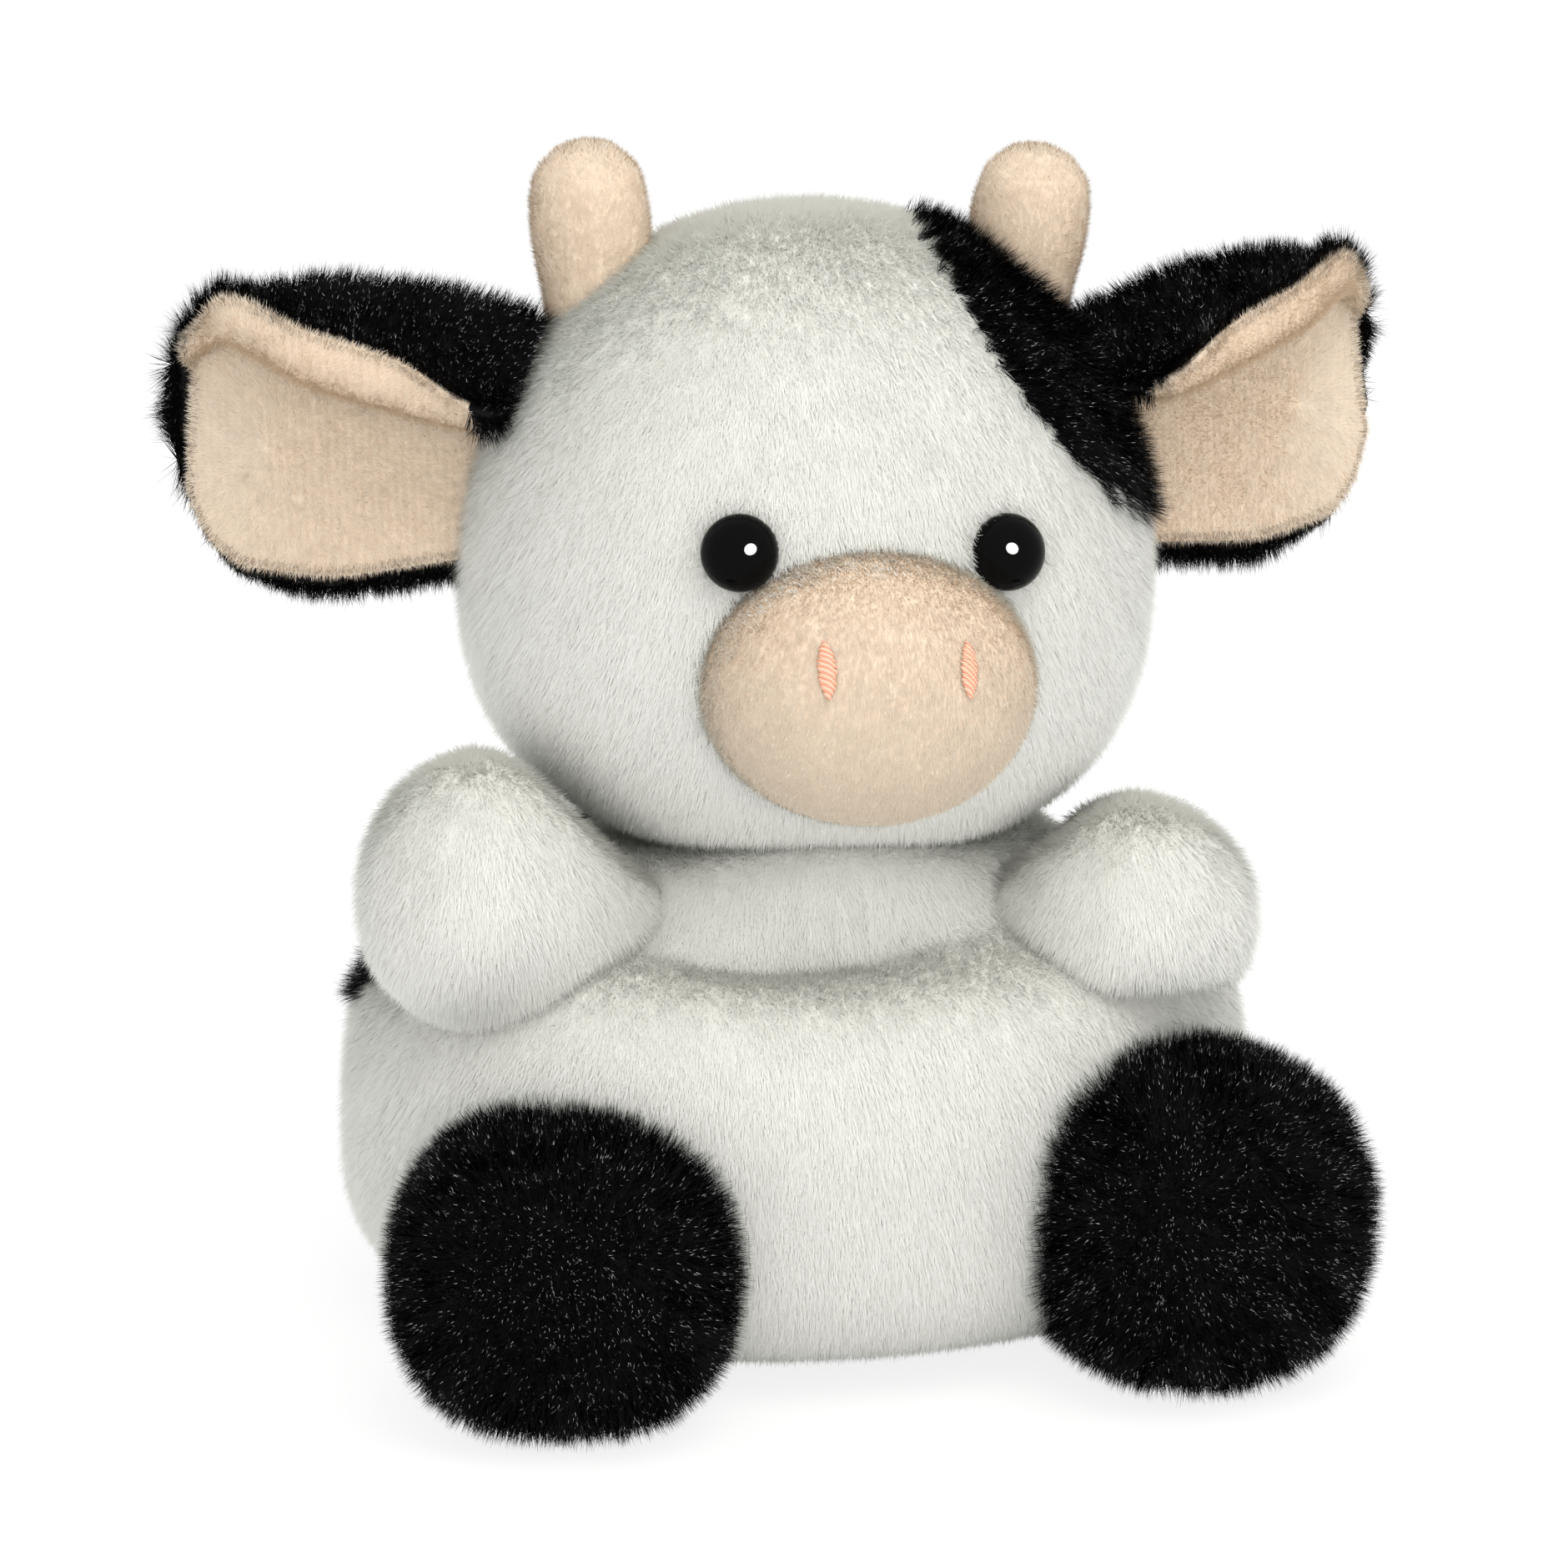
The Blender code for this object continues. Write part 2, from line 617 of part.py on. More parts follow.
outer, outer_far = torso_rings(0.0, neck_mouth, 0.0)
inner, inner_far = torso_rings(PILE_WALL, neck_mouth, PILE_WALL)
torso_cover = loft(
    "torso_cover", list(outer[::-1]) + list(inner), outer_far, inner_far, white_plush, root_body
)
top = np.array([[0.0, 0.0, 1.0]])
deep = PILE_WALL + GAP
above, edge, _, _ = split_rings(deep, deep, PELLET_LEVEL + GAP)
low_middle = np.array([0.0, 0.0, PELLET_LEVEL + GAP])
core = above + [edge, (edge + low_middle) / 2]
loft("torso_fill", core, torso.point(top, deep)[0], low_middle, fibre_fill, root_body)


def seat_rings(inset, level, mouth_share):
    """Rings of the seat below a level, from a mouth in its flat top to the middle of its flat bottom."""
    _, edge, below, far = split_rings(inset, inset, level)
    middle = np.array([0.0, 0.0, level])
    tops = [middle + (edge - middle) * share for share in (mouth_share, (1 + mouth_share) / 2)]
    return tops + [edge] + below, middle, far


mouth_share = POUCH_MOUTH_RADIUS / SEAT_HALF_WIDTH
pouch_out, _, pouch_base = seat_rings(deep, PELLET_LEVEL, mouth_share)
pouch_in, _, pouch_floor = seat_rings(deep + POUCH_WALL, PELLET_LEVEL - POUCH_WALL, mouth_share)
loft("pellet_pouch", pouch_out[::-1] + pouch_in, pouch_base, pouch_floor, pouch_cloth, root_body)
pellet_depth = deep + POUCH_WALL + GAP
pellets, pellet_top, pellet_floor = seat_rings(pellet_depth, PELLET_LEVEL - POUCH_WALL - GAP, 1 / 2)
loft("pellet_fill", pellets, pellet_top, pellet_floor, pellet_plastic, root_body)


# Patches let into the covers, each cut out by a cone from the middle of its form
def heading_directions(heading, rise):
    heading, rise = np.radians(heading), np.radians(rise)
    return np.stack(
        [np.sin(heading) * np.cos(rise), -np.cos(heading) * np.cos(rise), np.sin(rise)], axis=-1
    )


def patch_cone(name, ball, heading, rise, halves, grow, body):
    """An oval cone round a heading and rise, of level and upright half angles, wider by a length."""
    middle = heading_directions(heading, rise)
    level = np.cross(middle, (0.0, 0.0, 1.0))
    level = unit(level)
    upright = np.cross(level, middle)
    half_level, half_upright = (math.tan(math.radians(half) + grow / ball.front) for half in halves)
    turn = np.arange(PATCH_POINTS)[:, None] * 2 * math.pi / PATCH_POINTS
    outline = middle + half_level * np.cos(turn) * level + half_upright * np.sin(turn) * upright
    outline = outline / np.linalg.norm(outline, axis=1, keepdims=True)
    near, far = ball.front / 2, ball.front * 2
    rings = [ball.centre + outline * near, ball.centre + outline * far]
    return cutter_object(name, rings, ball.centre + middle * near, ball.centre + middle * far, body)


def inset_patch(name, ball, rings_outer, rings_inner, ends, heading, rise, halves, cover, body):
    """A panel of the cover's own thickness, and the hole in the cover that it fills."""
    panel = loft(name, list(rings_outer[::-1]) + list(rings_inner), *ends, black_plush, body)
    cut(panel, patch_cone(name + "_outline", ball, heading, rise, halves, 0.0, body), "INTERSECT")
    cut(cover, patch_cone(name + "_hole", ball, heading, rise, halves, GAP, body))
    return panel


inset_patch(
    "back_patch", torso, outer, inner, (outer_far, inner_far),
    BACK_PATCH_HEADING_DEG, BACK_PATCH_RISE_DEG, BACK_PATCH_HALF_DEG, torso_cover, root_body,
)

# Head: cover, black patch and filling, on the neck's pivot and tilted as it sits
head_empty, head_pivot = body_empty("head_frame", neck, turn=(0.0, math.radians(HEAD_TILT_DEG), 0.0))
head_body = (head_empty, head_pivot)
head_mouth = math.atan2(NECK_RADIUS, CHIN_DROP)


def seated_reach(directions):
    """The head's reach, drawn in where it would meet the torso at some nod."""
    reach = head.reach(directions)
    shares = np.ones_like(reach)
    for share in np.linspace(1.0, LEAST_NECK_SHARE, NECK_PRESS_STEPS):
        points = head.centre + directions * (reach * shares)[..., None]
        shares = np.where(torso_touches_head(points, GAP), share, shares)
    return reach * shares


def head_rings(inset):
    """Rings of the head form from its neck mouth to the crown, and the middle of the crown."""
    directions = ring_directions(head_mouth, -1, BALL_ROWS + HEAD_EXTRA_ROWS)
    reach = np.minimum(head.reach(directions, inset), seated_reach(directions) - inset)
    return head.centre + directions * reach[..., None], head.point(top, inset)[0]


outer, outer_far = head_rings(0.0)
inner, inner_far = head_rings(PILE_WALL)
head_cover = loft("head_cover", list(outer[::-1]) + list(inner), outer_far, inner_far, white_plush, head_body)
core, core_far = head_rings(deep)
bottom = np.array([[0.0, 0.0, -1.0]])
low = head.centre + bottom[0] * (seated_reach(bottom)[0] - deep)
head_fill = loft("head_fill", list(core), low, core_far, fibre_fill, head_body)
inset_patch(
    "head_patch", head, outer, inner, (outer_far, inner_far),
    HEAD_PATCH_HEADING_DEG, HEAD_PATCH_RISE_DEG, HEAD_PATCH_HALF_DEG, head_cover, head_body,
)


def head_meets_rest(points):
    return head.outside(points) < GAP


# Muzzle: a padded dome sewn to the face, with two stitched nostrils
muzzle = Limb(
    (0.0, -(MUZZLE_FRONT - MUZZLE_DEPTH), MUZZLE_HEIGHT), (0.0, -1.0, 0.0), (0.0, 0.0, 1.0),
    MUZZLE_DEPTH, MUZZLE_HALF_WIDTH, MUZZLE_HALF_HEIGHT, MUZZLE_OUTLINE_SHARES,
)
stuffed(
    "muzzle", muzzle, NAP_WALL, LIMB_COLUMNS, SMALL_ROWS, peach_plush, head_body, [head_meets_rest]
)


def dome_front(form, side, lift):
    """How far along its axis a limb's rounded end lies, at a place beside the axis."""
    turn, radius = np.arctan2(lift, side), np.hypot(side, lift)
    widest = int(np.argmax(form.outline[:, 1]))
    falling = form.outline[widest:][::-1]
    return np.interp(radius / form.section(turn, 0.0), falling[:, 1], falling[:, 0]) * form.length


def stitch_ring(form, middle, share, rise):
    """A ring of an oval of satin stitch, laid over a limb's rounded end at a height above it."""
    turn = np.arange(SMALL_COLUMNS) * 2 * math.pi / SMALL_COLUMNS
    side = middle[0] + NOSTRIL_HALF_WIDTH * share * np.cos(turn)
    lift = middle[1] + NOSTRIL_HALF_HEIGHT * share * np.sin(turn)
    along = dome_front(form, side, lift) + rise
    return form.root + side[:, None] * form.side + lift[:, None] * form.lift + along[:, None] * form.along


for label, sign in SIDES.items():
    middle = (sign * NOSTRIL_SIDE * muzzle.side[0], NOSTRIL_HEIGHT - MUZZLE_HEIGHT)
    levels = [(1 / 2, GAP), (1.0, GAP), (1.0, GAP + STITCH_RISE / 2), (1 / 2, GAP + STITCH_RISE)]
    rings = [stitch_ring(muzzle, middle, share, rise) for share, rise in levels]
    under, over = (stitch_ring(muzzle, middle, 0.0, rise)[0] for rise in (GAP, GAP + STITCH_RISE))
    loft("nostril_" + label, rings, under, over, coral_thread, head_body)


# Eyes: a domed eye whose ribbed shank goes through the cover, and the washer that locks it inside
def surface_at(ball, side, height):
    """The place on a ball's front at a side and a height, and the direction that faces out there."""
    aim = np.array([side, -ball.front, height - ball.centre[2]])
    for _ in range(AIM_STEPS):
        place = ball.point(unit(aim)[None, :])[0]
        aim = aim + (side - place[0], 0.0, height - place[2])
    offset = place - ball.centre
    rise = ball.up if offset[2] > 0 else ball.down
    slope = (offset[0] / ball.width**2, offset[1] / ball.front**2, offset[2] / rise**2)
    return place, unit(slope)


backing_level = -(PILE_WALL - BACKING_WALL)
washer_seat = -(PILE_WALL + WASHER_RADIUS**2 / FACE_REACH + GAP)
dome_base = backing_level + GAP + EYE_RIM_RISE
shank_tip = dome_base - SHANK_LENGTH
shank_hole = SHANK_RADIUS + SHANK_RIB + GAP
for label, sign in SIDES.items():
    place, facing = surface_at(head, sign * EYE_SIDE, EYE_HEIGHT)
    dome = [
        (dome_base + EYE_DOME_RISE * math.sin(angle), EYE_RADIUS * math.cos(angle))
        for angle in np.linspace(0.0, math.pi / 2, SMALL_ROWS + 1)[:-1]
    ]
    rib_pitch = (washer_seat - shank_tip) / SHANK_RIB_STEPS
    steps = range(SHANK_RIB_STEPS)
    ribs = [(shank_tip + rib_pitch * step, SHANK_RADIUS + SHANK_RIB * (step % 2)) for step in steps]
    rim = backing_level + GAP
    profile = ribs + [(washer_seat, SHANK_RADIUS), (rim, SHANK_RADIUS), (rim, EYE_RADIUS), *dome]
    loft(
        "eye_" + label, turned_rings(profile, place, facing, LIMB_COLUMNS),
        place + facing * shank_tip, place + facing * (dome_base + EYE_DOME_RISE), eye_plastic, head_body,
    )
    low_face = washer_seat - WASHER_WALL
    ring = [(low_face, shank_hole), (low_face, WASHER_RADIUS)]
    ring += [(washer_seat, WASHER_RADIUS), (washer_seat, shank_hole)]
    washer = turned_rings(ring + ring[:1], place, facing, LIMB_COLUMNS)
    tube_points = [point for one in washer[:4] for point in one]
    tube_faces = [
        (row * LIMB_COLUMNS + i, row * LIMB_COLUMNS + (i + 1) % LIMB_COLUMNS,
         (row + 1) % 4 * LIMB_COLUMNS + (i + 1) % LIMB_COLUMNS, (row + 1) % 4 * LIMB_COLUMNS + i)
        for row in range(4)
        for i in range(LIMB_COLUMNS)
    ]
    mesh_object("eye_washer_" + label, tube_points, tube_faces, washer_plastic, *head_body)

    beyond = EYE_DOME_RISE + PILE_WALL
    socket = [
        (2 * shank_tip, shank_hole), (backing_level, shank_hole),
        (backing_level, EYE_RADIUS + GAP), (beyond, EYE_RADIUS + GAP),
    ]
    tool = cutter_object(
        "eye_socket_" + label, turned_rings(socket, place, facing, LIMB_COLUMNS),
        place + facing * 2 * shank_tip, place + facing * beyond, head_body,
    )
    cut(head_cover, tool)
    well = [
        (shank_tip - GAP, shank_hole), (low_face - GAP, shank_hole),
        (low_face - GAP, WASHER_RADIUS + GAP), (beyond, WASHER_RADIUS + GAP),
    ]
    tool = cutter_object(
        "washer_well_" + label, turned_rings(well, place, facing, LIMB_COLUMNS),
        place + facing * (shank_tip - GAP), place + facing * beyond, head_body,
    )
    cut(head_fill, tool)

# Horns: stuffed fingers sewn to the crown, leaning out
horns = {}
for label, sign in SIDES.items():
    lean = math.radians(HORN_LEAN_DEG)
    horn = Limb(
        (sign * HORN_SIDE, HORN_BACK_SET, HORN_BASE_HEIGHT),
        (sign * math.sin(lean), 0.0, math.cos(lean)), (0.0, 1.0, 0.0),
        HORN_LENGTH, HORN_HALF_WIDTH, HORN_HALF_WIDTH, HORN_OUTLINE_SHARES,
    )
    horns[label] = horn
    stuffed(
        "horn_" + label, horn, NAP_WALL, SMALL_COLUMNS, SMALL_ROWS, peach_plush, head_body, [head_meets_rest]
    )


# Ears: a black back and a peach lining, folded forward along the top, with the lining's rim rolled up
def ear_sections(whole_wing, whole_fold):
    """Sections of the sheet between the ear's two layers, as shares of a turn are carried along it.

    Each section starts at the lower rim, rises to the fold, turns forward over it and curls up at the rim.
    Gives the places along the ear, and in front, rise and facing for each column.
    """
    rows = curve_through(EAR_SHARES, EAR_STEPS)
    along, fold_rise = rows[:, 0] * EAR_LENGTH, rows[:, 1] * EAR_FOLD_RISE
    drop, wing = rows[:, 2] * EAR_DROP, rows[:, 3] * whole_wing
    fold, curl = np.radians(rows[:, 4] * whole_fold), np.radians(rows[:, 5] * EAR_CURL_DEG)
    fold_arc = np.minimum(EAR_FOLD_RADIUS * fold, wing / 2)
    curl_arc = np.minimum(EAR_CURL_RADIUS * curl, wing * MOST_CURL_SHARE)
    fine = np.linspace(-1.0, 1.0, 2 * OUTLINE_STEPS + 1)[None, :]
    at = np.where(fine < 0, fine * drop[:, None], fine * wing[:, None])
    heading = math.pi / 2 + math.radians(EAR_CUP_DEG) * np.maximum(0.0, -fine)
    heading = heading - fold[:, None] * smooth_step(at / fold_arc[:, None])
    past_flat = at - (wing - curl_arc)[:, None]
    heading = heading + curl[:, None] * smooth_step(past_flat / (curl_arc * EAR_CURL_BEND_SHARE)[:, None])
    middle = (heading[:, 1:] + heading[:, :-1]) / 2
    front = np.concatenate([np.zeros((len(at), 1)), np.cumsum(np.cos(middle) * np.diff(at), axis=1)], axis=1)
    rise = np.concatenate([np.zeros((len(at), 1)), np.cumsum(np.sin(middle) * np.diff(at), axis=1)], axis=1)
    front = front - front[:, OUTLINE_STEPS : OUTLINE_STEPS + 1]
    rise = rise - rise[:, OUTLINE_STEPS : OUTLINE_STEPS + 1] + fold_rise[:, None]
    flat = (1 - curl_arc / wing)[:, None]
    shares = [
        np.linspace(-1.0, 0.0, EAR_DROP_COLUMNS)[None, :] * np.ones_like(flat),
        np.linspace(0.0, 1.0, EAR_WING_COLUMNS + 1)[None, 1:] * flat,
        flat + np.linspace(0.0, 1.0, EAR_CURL_COLUMNS + 1)[None, 1:] * (1 - flat),
    ]
    column = np.concatenate(shares, axis=1)
    place = [
        np.stack([np.interp(column[row], fine[0], values[row]) for row in range(len(at))])
        for values in (front, rise, heading)
    ]
    return along, *place


def ear_sheet(frame, sections, level):
    """The ear's middle sheet moved to a level on its facing side, as a grid of steps along it and columns."""
    origin, out, up, face = frame
    along, front, rise, heading = sections
    x = front + level * np.sin(heading)
    z = rise - level * np.cos(heading)
    return origin + along[:, None, None] * out + x[..., None] * face + z[..., None] * up


def ear_layer(name, sheets, begin, finish, body):
    """One layer of an ear between two sheets, from the step where each column leaves the head to the tip."""
    steps = len(sheets[0])
    share = np.linspace(0.0, 1.0, EAR_ROWS + 1)[:, None]
    row = begin[None, :] + (steps - 1 - begin[None, :]) * share
    under = np.minimum(row.astype(int), steps - 2)
    part = (row - under)[..., None]
    picked = [
        np.take_along_axis(sheet, under[..., None], axis=0) * (1 - part)
        + np.take_along_axis(sheet, under[..., None] + 1, axis=0) * part
        for sheet in sheets
    ]
    rings = [np.concatenate([one, other[::-1]]) for one, other in zip(*picked, strict=True)]
    return strip_loft(name, rings, finish, body)


EARS = {
    "left": (LEFT_EAR_SWEEP_DEG, LEFT_EAR_RISE_DEG, LEFT_EAR_WING, LEFT_EAR_FOLD_DEG),
    "right": (RIGHT_EAR_SWEEP_DEG, RIGHT_EAR_RISE_DEG, RIGHT_EAR_WING, RIGHT_EAR_FOLD_DEG),
}
for label, sign in SIDES.items():
    sweep, rise, wing, fold = EARS[label]
    sweep, rise = math.radians(sweep), math.radians(rise)
    level = math.cos(rise)
    out = np.array([sign * math.cos(sweep) * level, math.sin(sweep) * level, math.sin(rise)])
    up = unit(np.array([0.0, 0.0, 1.0]) - out[2] * out)
    face = np.cross(out, up) * sign
    if face[1] > 0:
        face = -face
    ear_root = np.array([sign * EAR_SIDE, EAR_BACK_SET, EAR_HEIGHT])
    empty, pivot = body_empty("ear_" + label + "_frame", ear_root, head_empty, head_pivot)
    clear_head = swept(head, ear_root, up, EAR_SWING_DEG, EAR_SEAM_GAP)
    frame, sections = (ear_root, out, up, face), ear_sections(wing, fold)
    sheets = [ear_sheet(frame, sections, level) for level in (-PILE_WALL, 0.0, GAP, GAP + NAP_WALL)]
    blocked = np.any([clear_head(sheet) for sheet in sheets], axis=0)
    for degrees in swing_steps(EAR_SWING_DEG):
        turned = [turn_about(sheet, ear_root, up, degrees) for sheet in sheets]
        blocked |= np.any([horns[label].near(sheet, GAP) for sheet in turned], axis=0)
    begin = first_clear(blocked)
    back_columns = EAR_DROP_COLUMNS + EAR_WING_COLUMNS
    back_sheets = [sheet[:, :back_columns] for sheet in (sheets[1], sheets[0])]
    ear_layer("ear_back_" + label, back_sheets, begin[:back_columns], black_plush, (empty, pivot))
    ear_layer("ear_lining_" + label, sheets[2:], begin, peach_plush, (empty, pivot))


# Arms and feet: stuffed limbs sewn to the torso
def limb_direction(sign, turn, rise):
    turn, rise = math.radians(turn), math.radians(rise)
    level = math.cos(rise)
    return np.array([sign * math.cos(turn) * level, -math.sin(turn) * level, math.sin(rise)])


FEET = {
    "left": (LEFT_FOOT_HALF_HEIGHT, LEFT_FOOT_TURN_DEG),
    "right": (RIGHT_FOOT_HALF_HEIGHT, RIGHT_FOOT_TURN_DEG),
}
feet = {}
for label, sign in SIDES.items():
    half_height, turn = FEET[label]
    hip = np.array([sign * HIP_SIDE, HIP_BACK, half_height - FLOOR_CUT])
    aim = limb_direction(sign, 90.0 - turn, 0.0)
    foot = Limb(
        hip, aim, (0.0, 0.0, 1.0), FOOT_LENGTH, FOOT_HALF_WIDTH, half_height, FOOT_OUTLINE_SHARES, FOOT_POWER
    )
    feet[label] = foot
    empty, pivot = body_empty("foot_" + label + "_frame", hip)
    stuffed(
        "foot_" + label, foot, PILE_WALL, LIMB_COLUMNS, LIMB_ROWS, black_plush, (empty, pivot),
        [swept(torso, hip, NOD_AXIS, FOOT_LIFT_DEG, SEAM_GAP)], floor=True,
    )

ARMS = {
    "left": (LEFT_SHOULDER_HEIGHT, LEFT_ARM_TURN_DEG, LEFT_ARM_RISE_DEG, LEFT_ARM_HALF_HEIGHT),
    "right": (RIGHT_SHOULDER_HEIGHT, RIGHT_ARM_TURN_DEG, RIGHT_ARM_RISE_DEG, RIGHT_ARM_HALF_HEIGHT),
}
for label, sign in SIDES.items():
    height, turn, rise, half_height = ARMS[label]
    shoulder = np.array([sign * SHOULDER_SIDE, SHOULDER_BACK, height])
    aim = limb_direction(sign, turn, rise)
    arm = Limb(
        shoulder, aim, (0.0, 0.0, 1.0), ARM_LENGTH, ARM_HALF_WIDTH, half_height, ARM_OUTLINE_SHARES
    )
    foot = feet[label]

    def lowered(points, lift, hip=foot.root):
        return turn_about(points, hip, NOD_AXIS, -lift)

    pressers = [
        met_by(near_head, straightened, shoulder, ARM_SWING_DEG, NOD_RANGE_DEG),
        met_by(foot.covers, lowered, shoulder, ARM_SWING_DEG, FOOT_LIFT_DEG),
    ]
    empty, pivot = body_empty("arm_" + label + "_frame", shoulder)
    stuffed(
        "arm_" + label, arm, PILE_WALL, LIMB_COLUMNS, LIMB_ROWS, white_plush, (empty, pivot),
        [swept(torso, shoulder, UPRIGHT_AXIS, ARM_SWING_DEG, SEAM_GAP)], pressers,
    )

# Tail: a rolled plush cord sewn low on the back, with a black tuft over its end
tail_start = torso.point(unit((0.0, 1.0, (TAIL_ROOT_HEIGHT - TORSO_CENTRE_HEIGHT) / BACK_REACH))[None, :])[0]
slope = math.radians(TAIL_SLOPE_DEG)
tail_aim = np.array([0.0, math.cos(slope), -math.sin(slope)])
tail_root = tail_start - tail_aim * TAIL_HALF_WIDTH
empty, pivot = body_empty("tail_frame", tail_root)
tail = Limb(
    tail_root, tail_aim, (0.0, 1.0, 0.0), TAIL_LENGTH, TAIL_HALF_WIDTH, TAIL_HALF_WIDTH, TAIL_OUTLINE_SHARES
)
clear_torso = swept(torso, tail_root, NOD_AXIS, TAIL_LIFT_DEG)
rings = tail.rings(0.0, SMALL_COLUMNS, SMALL_ROWS, [clear_torso])
middle, caps = tail.root_cap(0.0, SMALL_COLUMNS, [clear_torso])
loft("tail_cord", caps + list(rings), middle, tail.tip(0.0), white_plush, (empty, pivot))
tuft = Limb(
    tail.tip(-GAP), tail_aim, (0.0, 1.0, 0.0),
    TUFT_LENGTH, TUFT_HALF_WIDTH, TUFT_HALF_WIDTH, TUFT_OUTLINE_SHARES,
)
rings = tuft.rings(0.0, SMALL_COLUMNS, SMALL_ROWS, [clear_torso])
loft("tail_tuft", list(rings), tuft.root, tuft.tip(0.0), black_plush, (empty, pivot))
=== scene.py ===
"""A seated plush cow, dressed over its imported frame: skins, pile, eyes and stitches.

The cow faces -Y, its left side is +X and the floor is at Z = 0. Lengths in the formulas are millimetres,
and each mesh is made in metres. A skin is a formula surface a little under the ends of its pile, and the
pile is short tapered fibres that grow from points scattered over the skin.
"""
import json
import math

import bpy
import numpy as np
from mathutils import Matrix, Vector


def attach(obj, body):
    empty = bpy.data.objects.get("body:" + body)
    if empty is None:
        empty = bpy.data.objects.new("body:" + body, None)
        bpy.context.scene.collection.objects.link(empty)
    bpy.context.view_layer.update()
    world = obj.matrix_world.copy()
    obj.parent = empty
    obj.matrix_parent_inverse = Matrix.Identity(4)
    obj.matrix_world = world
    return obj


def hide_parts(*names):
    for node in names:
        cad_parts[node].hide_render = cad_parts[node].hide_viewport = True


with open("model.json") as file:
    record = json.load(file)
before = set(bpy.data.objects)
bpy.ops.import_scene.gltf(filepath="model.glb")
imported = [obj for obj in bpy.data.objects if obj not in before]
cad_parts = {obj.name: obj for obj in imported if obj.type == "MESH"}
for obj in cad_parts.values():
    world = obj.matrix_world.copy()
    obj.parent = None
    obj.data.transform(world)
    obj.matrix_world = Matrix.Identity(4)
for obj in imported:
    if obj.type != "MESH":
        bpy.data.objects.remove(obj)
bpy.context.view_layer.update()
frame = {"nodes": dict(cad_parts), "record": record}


# ---- Torso ----
# One squat bag of white long-pile plush over fibre and a pouch of pellets, sewn from panels turned inside
# out. A fold parts the chest from the lap, and a black panel is let into its right side and back.
class Socket:
    """An output socket with arithmetic, so that a pattern reads as a formula."""

    def __init__(self, graph, socket):
        self.graph, self.socket = graph, socket

    def _math(self, operation, other):
        return self.graph.node("ShaderNodeMath", self, other, operation=operation)

    def __add__(self, other):
        return self._math("ADD", other)

    def __mul__(self, other):
        return self._math("MULTIPLY", other)

    __radd__, __rmul__ = __add__, __mul__

    def ramp(self, low, high):
        """0 below low and 1 above high, with a smooth step between."""
        node = self.graph.raw("ShaderNodeMapRange", interpolation_type="SMOOTHSTEP")
        self.graph.link(self, node.inputs["Value"])
        node.inputs["From Min"].default_value, node.inputs["From Max"].default_value = low, high
        return Socket(self.graph, node.outputs["Result"])


class Graph:
    """One material's nodes, ending in a Principled shader."""

    def __init__(self, name, colour, roughness, **fixed):
        self.material = bpy.data.materials.new(name)
        self.material.use_nodes = True
        self.tree = self.material.node_tree
        self.shader = self.tree.nodes["Principled BSDF"]
        self.shader.inputs["Base Color"].default_value = (*colour, 1.0)
        self.shader.inputs["Roughness"].default_value = roughness
        for key, value in fixed.items():
            self.shader.inputs[key].default_value = value
        self.place = Socket(self, self.raw("ShaderNodeTexCoord").outputs["Object"])

    def raw(self, kind, **settings):
        node = self.tree.nodes.new(kind)
        for key, value in settings.items():
            setattr(node, key, value)
        return node

    def link(self, value, socket):
        if isinstance(value, Socket):
            self.tree.links.new(value.socket, socket)
        else:
            socket.default_value = value

    def node(self, kind, *values, output=0, sockets=None, **settings):
        """A node with its settings, whose first inputs take the values in order and others by name."""
        node = self.raw(kind, **settings)
        for value, socket in zip(values, node.inputs):
            self.link(value, socket)
        for key, value in (sockets or {}).items():
            self.link(value, node.inputs[key])
        return Socket(self, node.outputs[output])

    def noise(self, size, detail=3.0):
        """Noise whose features are about size millimetres across."""
        words = {"Scale": 1000.0 / size, "Detail": detail}
        return self.node("ShaderNodeTexNoise", self.place, sockets=words)

    def mix(self, share, first, second):
        node = self.raw("ShaderNodeMix", data_type="RGBA")
        self.link(share, node.inputs[0])
        for colour, socket in ((first, node.inputs[6]), (second, node.inputs[7])):
            self.link(colour if isinstance(colour, Socket) else (*colour, 1.0), socket)
        return Socket(self, node.outputs[2])

    def paint(self, value):
        self.link(value, self.shader.inputs["Base Color"])

    def bump(self, height, depth, strength=1.0):
        """Relief of a height, whose full range is depth millimetres."""
        node = self.raw("ShaderNodeBump")
        node.inputs["Strength"].default_value = strength
        node.inputs["Distance"].default_value = depth * 0.001
        self.link(height, node.inputs["Height"])
        self.tree.links.new(node.outputs["Normal"], self.shader.inputs["Normal"])


def cloth_material(name, dark, light, roughness, grain, depth, **fixed):
    """Pile backing: a mottled colour and a felted relief."""
    graph = Graph(name, light, roughness, **fixed)
    mottle = graph.noise(grain * 6, 4.0)
    graph.paint(graph.mix(mottle.ramp(0.3, 0.7), dark, light))
    graph.bump(graph.noise(grain, 5.0), depth)
    return graph.material


def fibre_materials(name, shades, roughness, level):
    """One material for each shade of fibre, the last a pale one for painted glints."""
    fixed = {"Specular IOR Level": level}
    return [Graph(f"{name}_{number}", shade, roughness, **fixed).material for number, shade in enumerate(shades)]


def unit(vector):
    vector = np.array(vector, float)
    return vector / np.linalg.norm(vector, axis=-1, keepdims=True)


def smooth_step(share):
    share = np.clip(share, 0.0, 1.0)
    return share * share * (3 - 2 * share)


